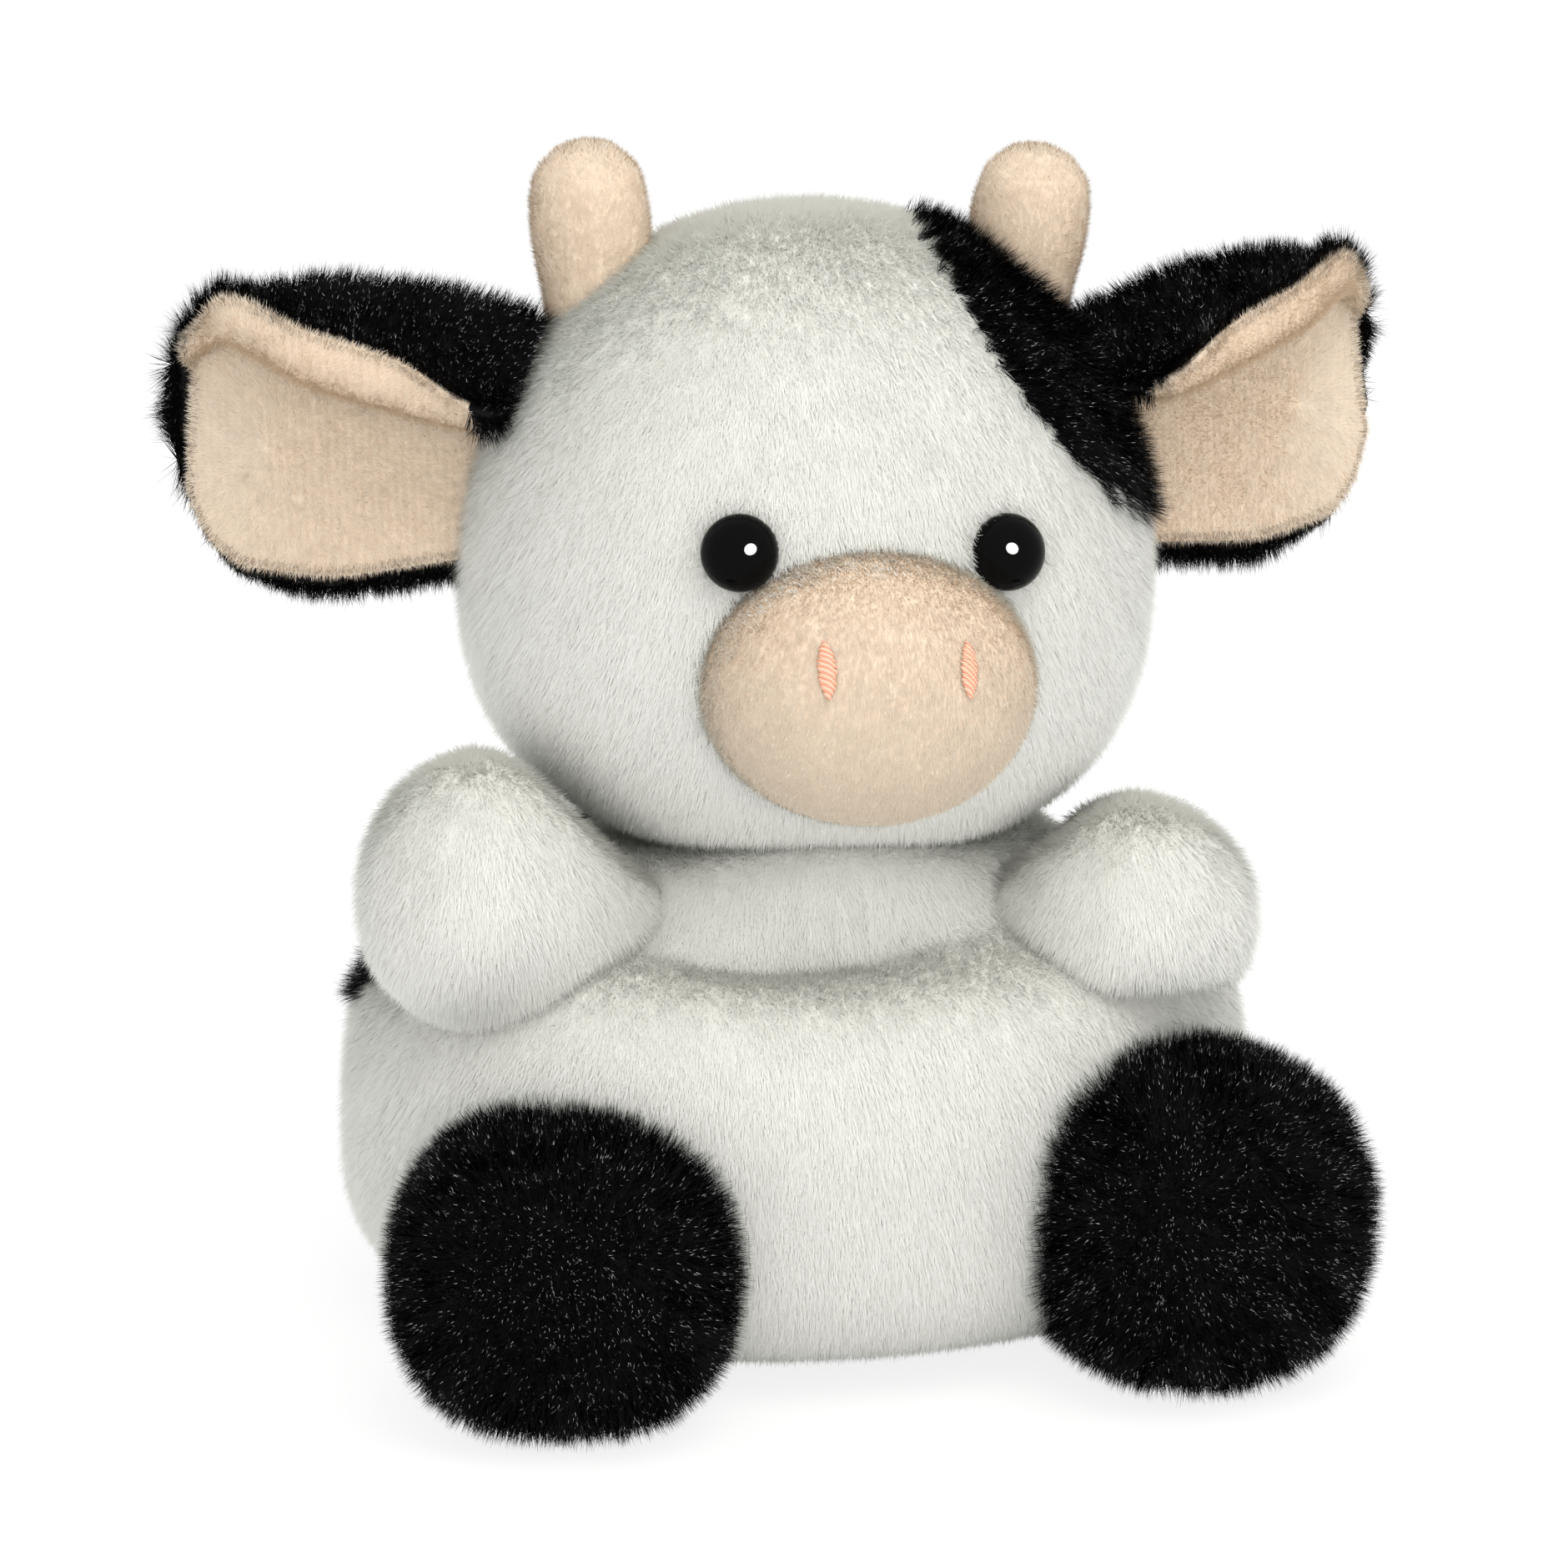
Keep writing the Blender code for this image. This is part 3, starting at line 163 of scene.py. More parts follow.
class Fold:
    """A soft dent: depth times exp(-(heading/turn)^2 - (rise/spread)^2) about a heading and rise in degrees."""

    def __init__(self, heading, rise, turn, spread, depth):
        self.heading, self.rise, self.turn, self.spread = (math.radians(v) for v in (heading, rise, turn, spread))
        self.depth = depth

    def dent(self, directions):
        heading = np.arctan2(directions[..., 0], -directions[..., 1]) - self.heading
        heading = (heading + math.pi) % (2 * math.pi) - math.pi
        rise = np.arcsin(np.clip(directions[..., 2], -1.0, 1.0)) - self.rise
        return self.depth * np.exp(-((heading / self.turn) ** 2) - (rise / self.spread) ** 2)


class Ball:
    """A stuffed bag. Its reach is the power mean of plan and rise, each a share of a half size, less its folds."""

    def __init__(self, centre, halves, powers, inset, folds=(), floor=None):
        self.centre = np.array(centre, float)
        self.width, self.front, self.back, self.up, self.down = (half - inset for half in halves)
        self.plan_power, self.up_power, self.down_power = powers
        self.folds, self.floor = folds, floor

    def reach(self, directions):
        x, y, z = np.abs(directions[..., 0]), directions[..., 1], directions[..., 2]
        depth = np.where(y < 0, self.front, self.back)
        rise = np.where(z < 0, self.down, self.up)
        power = np.where(z < 0, self.down_power, self.up_power)
        plan = (x / self.width) ** self.plan_power + (np.abs(y) / depth) ** self.plan_power
        total = plan ** (power / self.plan_power) + (np.abs(z) / rise) ** power
        return total ** (-1 / power) - sum(fold.dent(directions) for fold in self.folds)

    def outside(self, points):
        offsets = points - self.centre
        length = np.maximum(np.linalg.norm(offsets, axis=-1), 1e-6)
        return length - self.reach(offsets / length[..., None])

    def grid(self, rows, columns):
        """Rows of points from the top to the bottom: centre plus direction times reach, cut flat at the floor."""
        angle = np.linspace(0.0, math.pi, rows + 1)[1:-1, None]
        turn = np.arange(columns)[None, :] * 2 * math.pi / columns
        across, rise = np.sin(angle), np.cos(angle) * np.ones_like(turn)
        directions = np.stack([across * np.cos(turn), across * np.sin(turn), rise], axis=-1)
        poles = np.array([[0.0, 0.0, 1.0], [0.0, 0.0, -1.0]])
        points = self.centre + directions * self.reach(directions)[..., None]
        ends = self.centre + poles * self.reach(poles)[:, None]
        if self.floor is not None:
            points[..., 2] = np.maximum(points[..., 2], self.floor)
            ends[:, 2] = np.maximum(ends[:, 2], self.floor)
        return points, ends


def wrap_faces(rows, columns, closed=True):
    """Triangles over a grid of points, which closes on itself round its columns."""
    across = columns if closed else columns - 1
    row, column = np.meshgrid(np.arange(rows - 1), np.arange(across), indexing="ij")
    here, beside = row * columns + column, row * columns + (column + 1) % columns
    below, across_below = here + columns, beside + columns
    return np.stack([here, below, across_below, here, across_below, beside], axis=-1).reshape(-1, 3)


def capped(grid, ends):
    """Points and triangles of a closed skin: the grid, and a fan to a point at each end."""
    rows, columns = grid.shape[:2]
    faces = wrap_faces(rows, columns)
    first, last = rows * columns, rows * columns + 1
    at = np.arange(columns)
    top = np.stack([np.full(columns, first), at, (at + 1) % columns], axis=-1)
    low = (rows - 1) * columns
    bottom = np.stack([np.full(columns, last), low + (at + 1) % columns, low + at], axis=-1)
    points, faces = np.concatenate([grid.reshape(-1, 3), ends]), np.concatenate([faces, top, bottom])
    return points, outward(points, faces)


def outward(points, faces):
    """The triangles turned so that the closed skin's volume is positive."""
    a, b, c = (points[faces[:, i]] for i in range(3))
    return faces if np.einsum("ij,ij->i", a, np.cross(b, c)).sum() > 0 else faces[:, ::-1]


def mesh_piece(name, points, faces, materials, slots=None, smooth=True):
    """A mesh object made in metres from millimetres."""
    mesh = bpy.data.meshes.new(name)
    mesh.vertices.add(len(points))
    mesh.vertices.foreach_set("co", (np.asarray(points) * 0.001).astype(np.float32).ravel())
    mesh.loops.add(faces.size)
    mesh.loops.foreach_set("vertex_index", faces.astype(np.int32).ravel())
    mesh.polygons.add(len(faces))
    mesh.polygons.foreach_set("loop_start", np.arange(0, faces.size, 3, dtype=np.int32))
    for material in materials:
        mesh.materials.append(material)
    if slots is not None:
        mesh.polygons.foreach_set("material_index", slots.astype(np.int32))
    mesh.update(calc_edges=True)
    mesh.polygons.foreach_set("use_smooth", np.full(len(faces), smooth))
    piece = bpy.data.objects.new(name, mesh)
    bpy.context.scene.collection.objects.link(piece)
    return piece


def vertex_normals(points, faces):
    a, b, c = (points[faces[:, i]] for i in range(3))
    across = np.cross(b - a, c - a)
    normals = np.stack(
        [sum(np.bincount(faces[:, i], across[:, axis], len(points)) for i in range(3)) for axis in range(3)], axis=-1
    )
    return unit(normals + 1e-12)


WHITE, BLACK, PEACH = "white_plush", "black_plush", "peach_plush"
SKINS = {
    WHITE: cloth_material("white_backing", (0.86, 0.86, 0.82), (0.92, 0.92, 0.88), 0.9, 0.5, 0.3),
    BLACK: cloth_material("black_backing", (0.001, 0.001, 0.001), (0.003, 0.003, 0.003), 0.9, 0.5, 0.3),
}
# The last shade of each coat is a pale painted glint: painted light on the pile.
FIBRES = {
    WHITE: fibre_materials(
        "white_fibre", [(0.93, 0.93, 0.885), (0.95, 0.95, 0.91), (0.97, 0.97, 0.935), (1.0, 1.0, 1.0)], 0.5, 0.4
    ),
    BLACK: fibre_materials(
        "black_fibre", [(0.001, 0.001, 0.001), (0.002, 0.002, 0.0025), (0.005, 0.005, 0.006), (0.5, 0.5, 0.52)],
        0.55, 0.08,
    ),
}
COATS = {
    # length, width, fibres in a square millimetre, uprightness, stray, clump, clump size, evenness, share of painted
    # glints
    WHITE: (2.0, 0.092, 30.5, 0.55, 0.13, 0.05, 4.0, 0.95, 0.014),
    BLACK: (3.2, 0.11, 24.0, 0.85, 0.30, 0.36, 2.6, 0.45, 0.13),
}
GRAIN, THICKER = ((1.0, 1.0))
TALL_SHARES, RISING_SHARES, SHADE_SHARES = (0.7, 1.12), (0.75, 1.35), (0.3, 0.65)
TUFTS, TUFT_RISE = 0.04, 2.3
PAINTED_GLINT_LENGTH, PAINTED_GLINT_LIFT, FLOOR_GAP = 0.45, 0.012, 0.05


def waves(points, length, seed, count=9):
    """Smooth random vectors: sine waves about length millimetres long, each times a random vector."""
    draw = np.random.default_rng(seed)
    ways = unit(draw.normal(size=(count, 3))) * (2 * math.pi / (length * draw.uniform(0.7, 1.5, (count, 1))))
    phases, vectors = draw.uniform(0, 2 * math.pi, count), draw.normal(size=(count, 3))
    return np.sin(points @ ways.T + phases) @ vectors * math.sqrt(2 / count) * 0.6


def scatter(points, faces, density, seed):
    """Random places spread evenly over triangles, and the smooth normal at each."""
    draw = np.random.default_rng(seed)
    a, b, c = (points[faces[:, i]] for i in range(3))
    areas = np.linalg.norm(np.cross(b - a, c - a), axis=1) / 2
    count = int(areas.sum() * density)
    pick = np.searchsorted(np.cumsum(areas) / areas.sum(), draw.random(count)).clip(0, len(faces) - 1)
    u, v = np.sqrt(draw.random(count)), draw.random(count)
    weights = np.stack([1 - u, u * (1 - v), u * v])[..., None]
    normals = vertex_normals(points, faces)
    place = sum(weights[i] * points[faces[pick, i]] for i in range(3))
    facing = sum(weights[i] * normals[faces[pick, i]] for i in range(3))
    return place, unit(facing), draw


def grow(name, coat, places, normals, draw, lean=(0.0, 0.0, -0.15), length=1.0):
    """Fibres, each one narrow triangle: its root lies on the skin, and its tip is at root + way * length.

    The way is the skin's normal plus the lean along the skin, a swirl that neighbours share, and a little of
    its own. The shading normals are mostly the skin's, so that the pile takes the light as one soft surface,
    and nothing goes below the floor.
    A painted glint is a short sliver in the coat's pale last shade, lying on the outer half of a fibre.
    """
    tall, wide, _, upright, stray, clump, clump_size, even, painted_glints = COATS[coat]
    count = len(places)
    wide = wide * THICKER
    tall = tall * (length * draw.uniform(*TALL_SHARES, count))[:, None]
    lean = np.broadcast_to(lean, (count, 3))
    lean = lean - (lean * normals).sum(axis=1)[:, None] * normals
    swirl = waves(places, clump_size, 11) * clump + waves(places, clump_size * 3, 12) * clump * 0.6
    drift = lean + swirl + draw.normal(size=(count, 3)) * stray
    rising = np.where(draw.random(count) < TUFTS, TUFT_RISE, draw.uniform(*RISING_SHARES, count)) * upright
    way = unit(normals * rising[:, None] + drift)
    way = unit(way + normals * np.maximum(0.15 - (way * normals).sum(axis=1), 0.0)[:, None])
    flat = unit(np.cross(normals, way) + draw.normal(size=(count, 3)) * 0.15)
    facing = unit(np.cross(way, flat))
    facing *= np.sign((facing * normals).sum(axis=1))[:, None]
    half = np.cross(way, facing) * wide / 2
    points = np.stack([places - half, places + half, places + way * tall], axis=1)
    painted_glint_at = np.nonzero(draw.random(count) < painted_glints)[0]
    low = places[painted_glint_at] + way[painted_glint_at] * tall[painted_glint_at] * draw.uniform(0.45, 0.75, len(painted_glint_at))[:, None]
    low = low + facing[painted_glint_at] * PAINTED_GLINT_LIFT
    painted_glint_sliver = [low - half[painted_glint_at] * 0.6, low + half[painted_glint_at] * 0.6, low + way[painted_glint_at] * PAINTED_GLINT_LENGTH]
    points = np.concatenate([points, np.stack(painted_glint_sliver, axis=1)])
    points[..., 2] = np.maximum(points[..., 2], FLOOR_GAP)
    shading = unit(normals * even + facing * (1 - even) + draw.normal(size=(count, 3)) * 0.02)
    shading = np.repeat(np.concatenate([shading, facing[painted_glint_at]]), 3, axis=0)
    shade = draw.random(count)
    slots = np.searchsorted(SHADE_SHARES, shade, side="right")
    # Slot 3 holds the pale shade of the painted glints.
    slots = np.concatenate([slots, np.full(len(painted_glint_at), 3)])
    faces = np.arange(len(points) * 3).reshape(-1, 3)
    piece = mesh_piece(name, points.reshape(-1, 3), faces, FIBRES[coat], slots)
    normal = piece.data.attributes.new("custom_normal", "FLOAT_VECTOR", "POINT")
    normal.data.foreach_set("vector", shading.astype(np.float32).ravel())
    return piece


def fitted(piece, slot, body, *nodes):
    """The piece moves with a body, and stands for the rigid solids named. The slot is not used."""
    if nodes:
        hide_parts(*nodes)
    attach(piece, body)
    return piece


def coat_over(name, coat, points, faces, body, seed, keep=None, density=1.0, move=None, **words):
    """Pile over a skin, left out where keep says no, and then moved as its form is."""
    places, normals, draw = scatter(points, faces, COATS[coat][2] * density * GRAIN, seed)
    if keep is not None:
        kept = keep(places, draw)
        places, normals = places[kept], normals[kept]
    if callable(words.get("lean")):
        words["lean"] = words["lean"](places, normals)
    if move is not None:
        shift = move(places)
        if "lean" in words:
            words["lean"] = move(places + words["lean"]) - shift
        normals = unit(move(places + normals) - shift)
        places = shift
    return fitted(grow(name, coat, places, normals, draw, **words), coat, body)


def skin_over(name, coat, points, faces, body, nodes):
    """A stuffed piece's skin, which stands for the soft solids that it covers."""
    piece = mesh_piece(name, points, faces, [SKINS[coat]])
    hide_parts(*nodes)
    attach(piece, body)
    return piece


def dressed(name, coat, skin, body, nodes, seed, keep=None, move=None, fill=0.85, **words):
    """The skin and the pile of one stuffed piece, whose points and triangles are given back."""
    points, faces = capped(*skin)
    skin_over(name + "_skin", coat, points if move is None else move(points), faces, body, nodes)
    pile = "_nap" if coat == PEACH else "_pile"
    coat_over(name + pile, coat, points, faces, body, seed, keep, move=move, **words)
    return points, faces


def turned(points, pivot, axis, degrees):
    """Points turned about an axis through the pivot, by Rodrigues' formula."""
    axis, angle = unit(axis), math.radians(degrees)
    offset = points - pivot
    along = (offset @ axis)[..., None] * axis
    return pivot + along + (offset - along) * math.cos(angle) + np.cross(axis, offset) * math.sin(angle)


def in_patch(ball, heading, rise, halves):
    """A test for being inside an oval cone round a heading and rise, given in degrees."""
    heading, rise = math.radians(heading), math.radians(rise)
    level = math.cos(rise)
    middle = np.array([math.sin(heading) * level, -math.cos(heading) * level, math.sin(rise)])
    level = unit(np.cross(middle, (0.0, 0.0, 1.0)))
    upright = np.cross(level, middle)
    wide, tall = (math.tan(math.radians(half)) for half in halves)

    def inside(points):
        offset = points - ball.centre
        ahead = np.maximum(offset @ middle, 1e-6)
        return ((offset @ level) / ahead / wide) ** 2 + ((offset @ upright) / ahead / tall) ** 2 < 1
    return inside


def split_coats(name, form, patch, body, nodes, seed, keep, move, parts, **words):
    """A white form with a black panel: two skins and their pile, split where the panel's outline runs."""
    points, faces = capped(*form.grid(90, 150))
    black = patch(points[faces].mean(axis=1))
    placed = points if move is None else move(points)
    skin_over(name + "_skin", WHITE, placed, faces[~black], body, nodes[:1])
    skin_over(name + "_patch_skin", BLACK, placed, faces[black], body, nodes[1:])

    def side(places):
        return patch(places + waves(places, 2.2, seed + 5) * 0.9)

    for part, (low, high) in enumerate(zip(parts[:-1], parts[1:])):
        def white_here(places, draw):
            angle = np.degrees(np.arctan2(places[:, 0], -places[:, 1]))
            return keep(places) & ~side(places) & (angle >= low) & (angle < high)

        coat_over(f"{name}_pile_{part}", WHITE, points, faces, body, seed, white_here, move=move, **words)
    coat_over(
        name + "_patch_pile", BLACK, points, faces, body, seed + 1,
        lambda places, draw: keep(places) & side(places), move=move, **words,
    )


NECK, HEAD_TILT = np.array([0.0, 0.0, 48.0]), 2.5
HEAD_NOD, ARM_SWING, FOOT_LIFT = (-8.0, 5.0), (-8.0, 8.0), (-12.0, 0.0)
WHITE_INSET, BLACK_INSET, PEACH_INSET = 1.6, 2.0, 0.5
SIDES = {"left": 1.0, "right": -1.0}
UPRIGHT, LEVEL, FRONT, BACK = (0.0, 0.0, 1.0), (1.0, 0.0, 0.0), (0.0, -1.0, 0.0), (0.0, 1.0, 0.0)
# centre, reach to the side, front, back, top and bottom, powers of the plan, the upper and the lower half
TORSO_SIZES = (0.0, 0.0, 19.0), (46.0, 41.0, 35.0, 29.0, 19.5), (2.2, 3.0, 3.6)
HEAD_SIZES = (0.0, 0.0, 74.5), (35.0, 32.5, 31.0, 36.5, 29.0), (2.1, 2.05, 2.5)
torso = Ball(
    *TORSO_SIZES, WHITE_INSET,
    [
        # the waist, the chest over it, the shoulders, and the small creases of the lap and the chest
        Fold(0.0, 41.0, 80.0, 9.0, 3.4), Fold(0.0, 55.0, 48.0, 12.0, -4.4), Fold(0.0, 64.0, 85.0, 11.0, -3.4),
        Fold(80.0, 50.0, 30.0, 9.0, -3.2), Fold(-80.0, 50.0, 30.0, 9.0, -3.2),
        Fold(-24.0, 38.0, 15.0, 2.8, 1.5), Fold(-4.0, 40.5, 14.0, 2.8, 1.4), Fold(16.0, 43.5, 13.0, 2.8, 1.1),
        Fold(-4.0, 47.0, 2.0, 4.0, 0.8), Fold(3.0, 48.5, 1.7, 3.6, 0.8), Fold(-12.0, 46.0, 2.2, 3.6, 0.6),
    ],
    floor=0.6,
)
head = Ball(*HEAD_SIZES, WHITE_INSET)
COVERED, ON_FLOOR = 0.3, 1.2


def tilted(points):
    """The head's pieces are worked out upright, and then lean with it to the cow's right."""
    return turned(points, NECK, BACK, HEAD_TILT)


def straightened(points, nod=0.0):
    """The way back, for a head that also nods."""
    return turned(turned(points, NECK, BACK, -HEAD_TILT), NECK, LEVEL, -nod)


def combed(places, normals, forward=0.9):
    """Pile lies forward on top, down at the front and back under it, and stands up only at one whorl behind.

    The way is (0, -forward * rise of the normal, -0.8), laid on the skin and made 0.8 long.
    """
    lean = np.stack([np.zeros(len(places)), normals[:, 2] * -forward, np.full(len(places), -0.8)], axis=-1)
    lean = lean - (lean * normals).sum(axis=1)[:, None] * normals
    return lean / np.maximum(np.linalg.norm(lean, axis=1), 0.45)[:, None] * 0.8


def torso_lean(places, normals):
    """The torso's pile is combed like the rest, but straight down behind the neck, so it has no whorl there."""
    return combed(places, normals, 0.9 - 0.9 * smooth_step((places[:, 1] - 6.0) / 12.0))


def torso_shows(places):
    """Pile grows where the torso isn't under the head and isn't pressed on the floor."""
    return (head.outside(straightened(places)) > COVERED) & (places[:, 2] > ON_FLOOR)


split_coats(
    "torso", torso, in_patch(torso, -120.0, 32.0, (30.0, 20.0)), "torso", ["torso_cover", "back_patch"], 21,
    torso_shows, None, (-181.0, -25.0, 60.0, 181.0), lean=torso_lean,
)


# ---- Head ----
# A ball of the same white plush, stuffed with fibre, and sewn to the torso at a neck on which it tilts. A black
# panel round its left ear and horn is sewn in.
EYE_SIDE, EYE_HEIGHT, EYE_RADIUS = 13.2, 82.0, 3.7
EYES = [np.array([sign * EYE_SIDE, -28.6, EYE_HEIGHT]) for sign in SIDES.values()]
MUZZLE_HEIGHT, MUZZLE_SEAM = 69.2, (15.2, 12.5)


def from_muzzle(places):
    """The square of the distance from the muzzle's middle, where 1 is on its oval seam."""
    wide, tall = MUZZLE_SEAM
    return (places[:, 0] / wide) ** 2 + ((places[:, 2] - MUZZLE_HEIGHT) / tall) ** 2


def head_shows(places):
    """Pile grows where the head isn't under the eyes or the muzzle, or down on the torso."""
    clear = torso.outside(tilted(places)) > COVERED
    for eye in EYES:
        clear &= np.linalg.norm(places - eye, axis=1) > EYE_RADIUS
    return clear & ~((from_muzzle(places) < 1) & (places[:, 1] < 0))


def head_lean(places, normals):
    """Forward and down over the crown and face, in over each eye's rim, and in over the muzzle's border."""
    lean = combed(places, normals)
    for eye in EYES:
        away = places - eye
        distance = np.linalg.norm(away, axis=1)[:, None]
        near = np.exp(-((distance / 5.0) ** 4))
        lean = lean * (1 - near) - away / distance * near * 0.12
    inward = (places - (0.0, 0.0, MUZZLE_HEIGHT)) * (-1.0, 0.0, -1.0)
    near = np.exp(-((np.maximum(from_muzzle(places) - 1, 0.0) / 0.22) ** 2)) * (places[:, 1] < 0)
    return lean * (1 - near[:, None]) + unit(inward + 1e-9) * near[:, None] * 0.35


split_coats(
    "head", head, in_patch(head, 86.0, 43.0, (37.0, 32.0)), "head", ["head_cover", "head_patch"], 41,
    head_shows, tilted, (-181.0, -35.0, 60.0, 181.0), lean=head_lean,
)


# ---- Muzzle and nostrils ----
# A padded dome of peach velour sewn to the face. Each nostril is an oval of coral satin stitch, worked
# through the velour in rows of thread.
PEACH_PATCHES = ((0.78, 0.62, 0.48), (0.87, 0.73, 0.58))
SKINS[PEACH] = cloth_material("peach_velour", *PEACH_PATCHES, 0.9, 0.25, 0.12)
# The last peach shade is a pale painted glint.
PEACH_SHADES = [(0.75, 0.63, 0.50), (0.78, 0.66, 0.53), (0.80, 0.69, 0.56), (1.0, 0.94, 0.87)]
FIBRES[PEACH] = fibre_materials("peach_fibre", PEACH_SHADES, 0.6, 0.3)
COATS[PEACH] = (0.75, 0.07, 42.0, 0.5, 0.2, 0.1, 2.2, 0.85, 0.012)


def curve_through(stations, count=80):
    """Points on a smooth curve through stations: cubics, with the slope at each from its neighbours."""
    stations = np.array(stations, float)
    steps = np.linalg.norm(np.diff(stations, axis=0), axis=1)
    knots = np.concatenate(([0.0], np.cumsum(steps))) / steps.sum()
    slopes = np.gradient(stations, knots, axis=0)
    at = np.linspace(0.0, 1.0, count)
    piece = np.clip(np.searchsorted(knots, at, side="right") - 1, 0, len(knots) - 2)
    width = (knots[piece + 1] - knots[piece])[:, None]
    share = (at[:, None] - knots[piece][:, None]) / width
    start, end = stations[piece], stations[piece + 1]
    leave, arrive = slopes[piece] * width, slopes[piece + 1] * width
    rising = start * (1 + 2 * share) * (1 - share) ** 2 + leave * share * (1 - share) ** 2
    return rising + end * share**2 * (3 - 2 * share) + arrive * share**2 * (share - 1)


class Limb:
    """A stuffed tube: a rounded section of half width and height, scaled along the axis by an outline."""

    def __init__(self, root, along, up, sizes, outline, inset, power=2.0, floor=None):
        self.root, self.along = np.array(root, float), unit(along)
        self.side = unit(np.cross(self.along, up))
        self.lift = np.cross(self.side, self.along)
        self.length, self.half_width, self.half_height = sizes
        self.inset, self.power, self.floor = inset, power, floor
        self.outline = curve_through(outline, 200)

    def section(self, turn, inset):
        """The widest section's reach: the power mean of cosine over width and sine over height."""
        width, height = self.half_width - inset, self.half_height - inset
        return (np.abs(np.cos(turn) / width) ** self.power + np.abs(np.sin(turn) / height) ** self.power) ** (
            -1 / self.power
        )

    def point(self, at, turn, inset, press=1.0):
        """The point at a share and a turn: root + along + outline * (section - what is pressed)."""
        at, turn, press = np.broadcast_arrays(at, turn, press)
        shares = np.linspace(0.0, 1.0, len(self.outline))
        along = np.interp(at, shares, self.outline[:, 0]) * (self.length - inset)
        across = np.interp(at, shares, self.outline[:, 1])
        radius = across * (self.section(turn, inset) - (1 - press) * self.section(turn, 0.0))
        aside, above = (radius * way(turn) for way in (np.cos, np.sin))
        points = self.root + along[..., None] * self.along
        points = points + aside[..., None] * self.side + above[..., None] * self.lift
        if self.floor is not None:
            points[..., 2] = np.maximum(points[..., 2], self.floor)
        return points

    def covers(self, points, gap):
        """True where a point is nearer the axis than the solid's skin there and the gap."""
        offsets = points - self.root
        side, lift = offsets @ self.side, offsets @ self.lift
        share = offsets @ self.along / (self.length + gap)
        skin = np.interp(share, self.outline[:, 0], self.outline[:, 1]) * self.section(np.arctan2(lift, side), 0.0)
        return (np.hypot(side, lift) < skin + gap) & (share < 1.0)

    def grid(self, rows, columns, sewn_to, pressers=()):
        """Rows from the mouth, a little inside what it is sewn to, to the tip, drawn in where it is pressed."""
        turn = np.arange(columns) * 2 * math.pi / columns
        at = np.linspace(0.0, 1.0, 240)
        buried = sewn_to(self.point(at[:, None], turn[None, :], self.inset)) < -SEAM_DEPTH
        last = np.where(buried.any(axis=0), len(at) - 1 - np.argmax(buried[::-1], axis=0), 0)
        begin = at[np.minimum(last, len(at) - 2)]
        share = np.sin(np.linspace(0.0, 1.0, rows + 1)[:-1, None] * math.pi / 2)
        at = begin[None, :] + (1.0 - begin[None, :]) * share
        turn = np.broadcast_to(turn, at.shape)
        press = np.ones(at.shape)
        for kept in np.linspace(1.0, 0.5, 50 if pressers else 0):
            points = self.point(at, turn, 0.0, press)
            press = np.where(np.any([presser(points) for presser in pressers], axis=0), kept, press)
        for _ in range(14 if pressers else 0):
            rows_beside = np.pad(press, ((1, 1), (0, 0)), mode="edge")
            beside = np.roll(press, 1, axis=1) + np.roll(press, -1, axis=1) + rows_beside[2:] + rows_beside[:-2]
            press = np.minimum(press, (press * 2 + beside) / 6)
        points = self.point(at, turn, self.inset, press)
        tip = self.point(np.array(1.0), np.array(0.0), self.inset)
        return points, np.stack([points[0].mean(axis=0), tip])


SEAM_DEPTH = 1.2
muzzle = Limb(
    (0.0, -23.5, MUZZLE_HEIGHT), FRONT, UPRIGHT, (20.0, 16.3, 13.6),
    ((0.0, 0.98), (0.35, 1.0), (0.62, 0.9), (0.84, 0.66), (0.96, 0.34), (1.0, 0.0)), PEACH_INSET,
)
points, faces = dressed(
    "muzzle", PEACH, muzzle.grid(36, 120, head.outside), "head", ["muzzle_cover"], 61,
    lambda places, draw: head.outside(places) > -COVERED, tilted, lean=combed,
)
coat_over(
    "muzzle_border_pile", WHITE, points, faces, "head", 62,
    lambda places, draw: draw.random(len(places)) * 5.5 > head.outside(places) + 0.2, density=1.2, move=tilted,
    lean=lambda places, normals: (muzzle.root + (0.0, -34.0, 0.0) - places) * 0.05, length=0.7,
)


def dome_front(form, side, lift):
    """How far along its axis a limb's rounded end lies beside the axis."""
    falling = form.outline[int(np.argmax(form.outline[:, 1])):][::-1]
    share = np.hypot(side, lift) / form.section(np.arctan2(lift, side), form.inset)
    return np.interp(share, falling[:, 1], falling[:, 0]) * (form.length - form.inset)


def tube(path, radius, sides=8):
    """Points and triangles of a closed round thread along a path, thinner at both ends."""
    way = unit(np.gradient(path, axis=0))
    side = unit(np.cross(way, (0.0, 1.0, 0.05)))
    lift = np.cross(side, way)
    turn = np.arange(sides) * 2 * math.pi / sides
    taper = radius * np.sin(np.linspace(0.18, math.pi - 0.18, len(path))) ** 0.4
    ring = np.cos(turn)[None, :, None] * side[:, None] + np.sin(turn)[None, :, None] * lift[:, None]
    return capped(path[:, None] + ring * taper[:, None, None], path[[0, -1]])


def joined(parts):
    """One mesh of several: the points one after another, and the triangles renumbered."""
    counts = np.cumsum([0] + [len(points) for points, _ in parts[:-1]])
    points = np.concatenate([points for points, _ in parts])
    return points, np.concatenate([faces + start for start, (_, faces) in zip(counts, parts)])
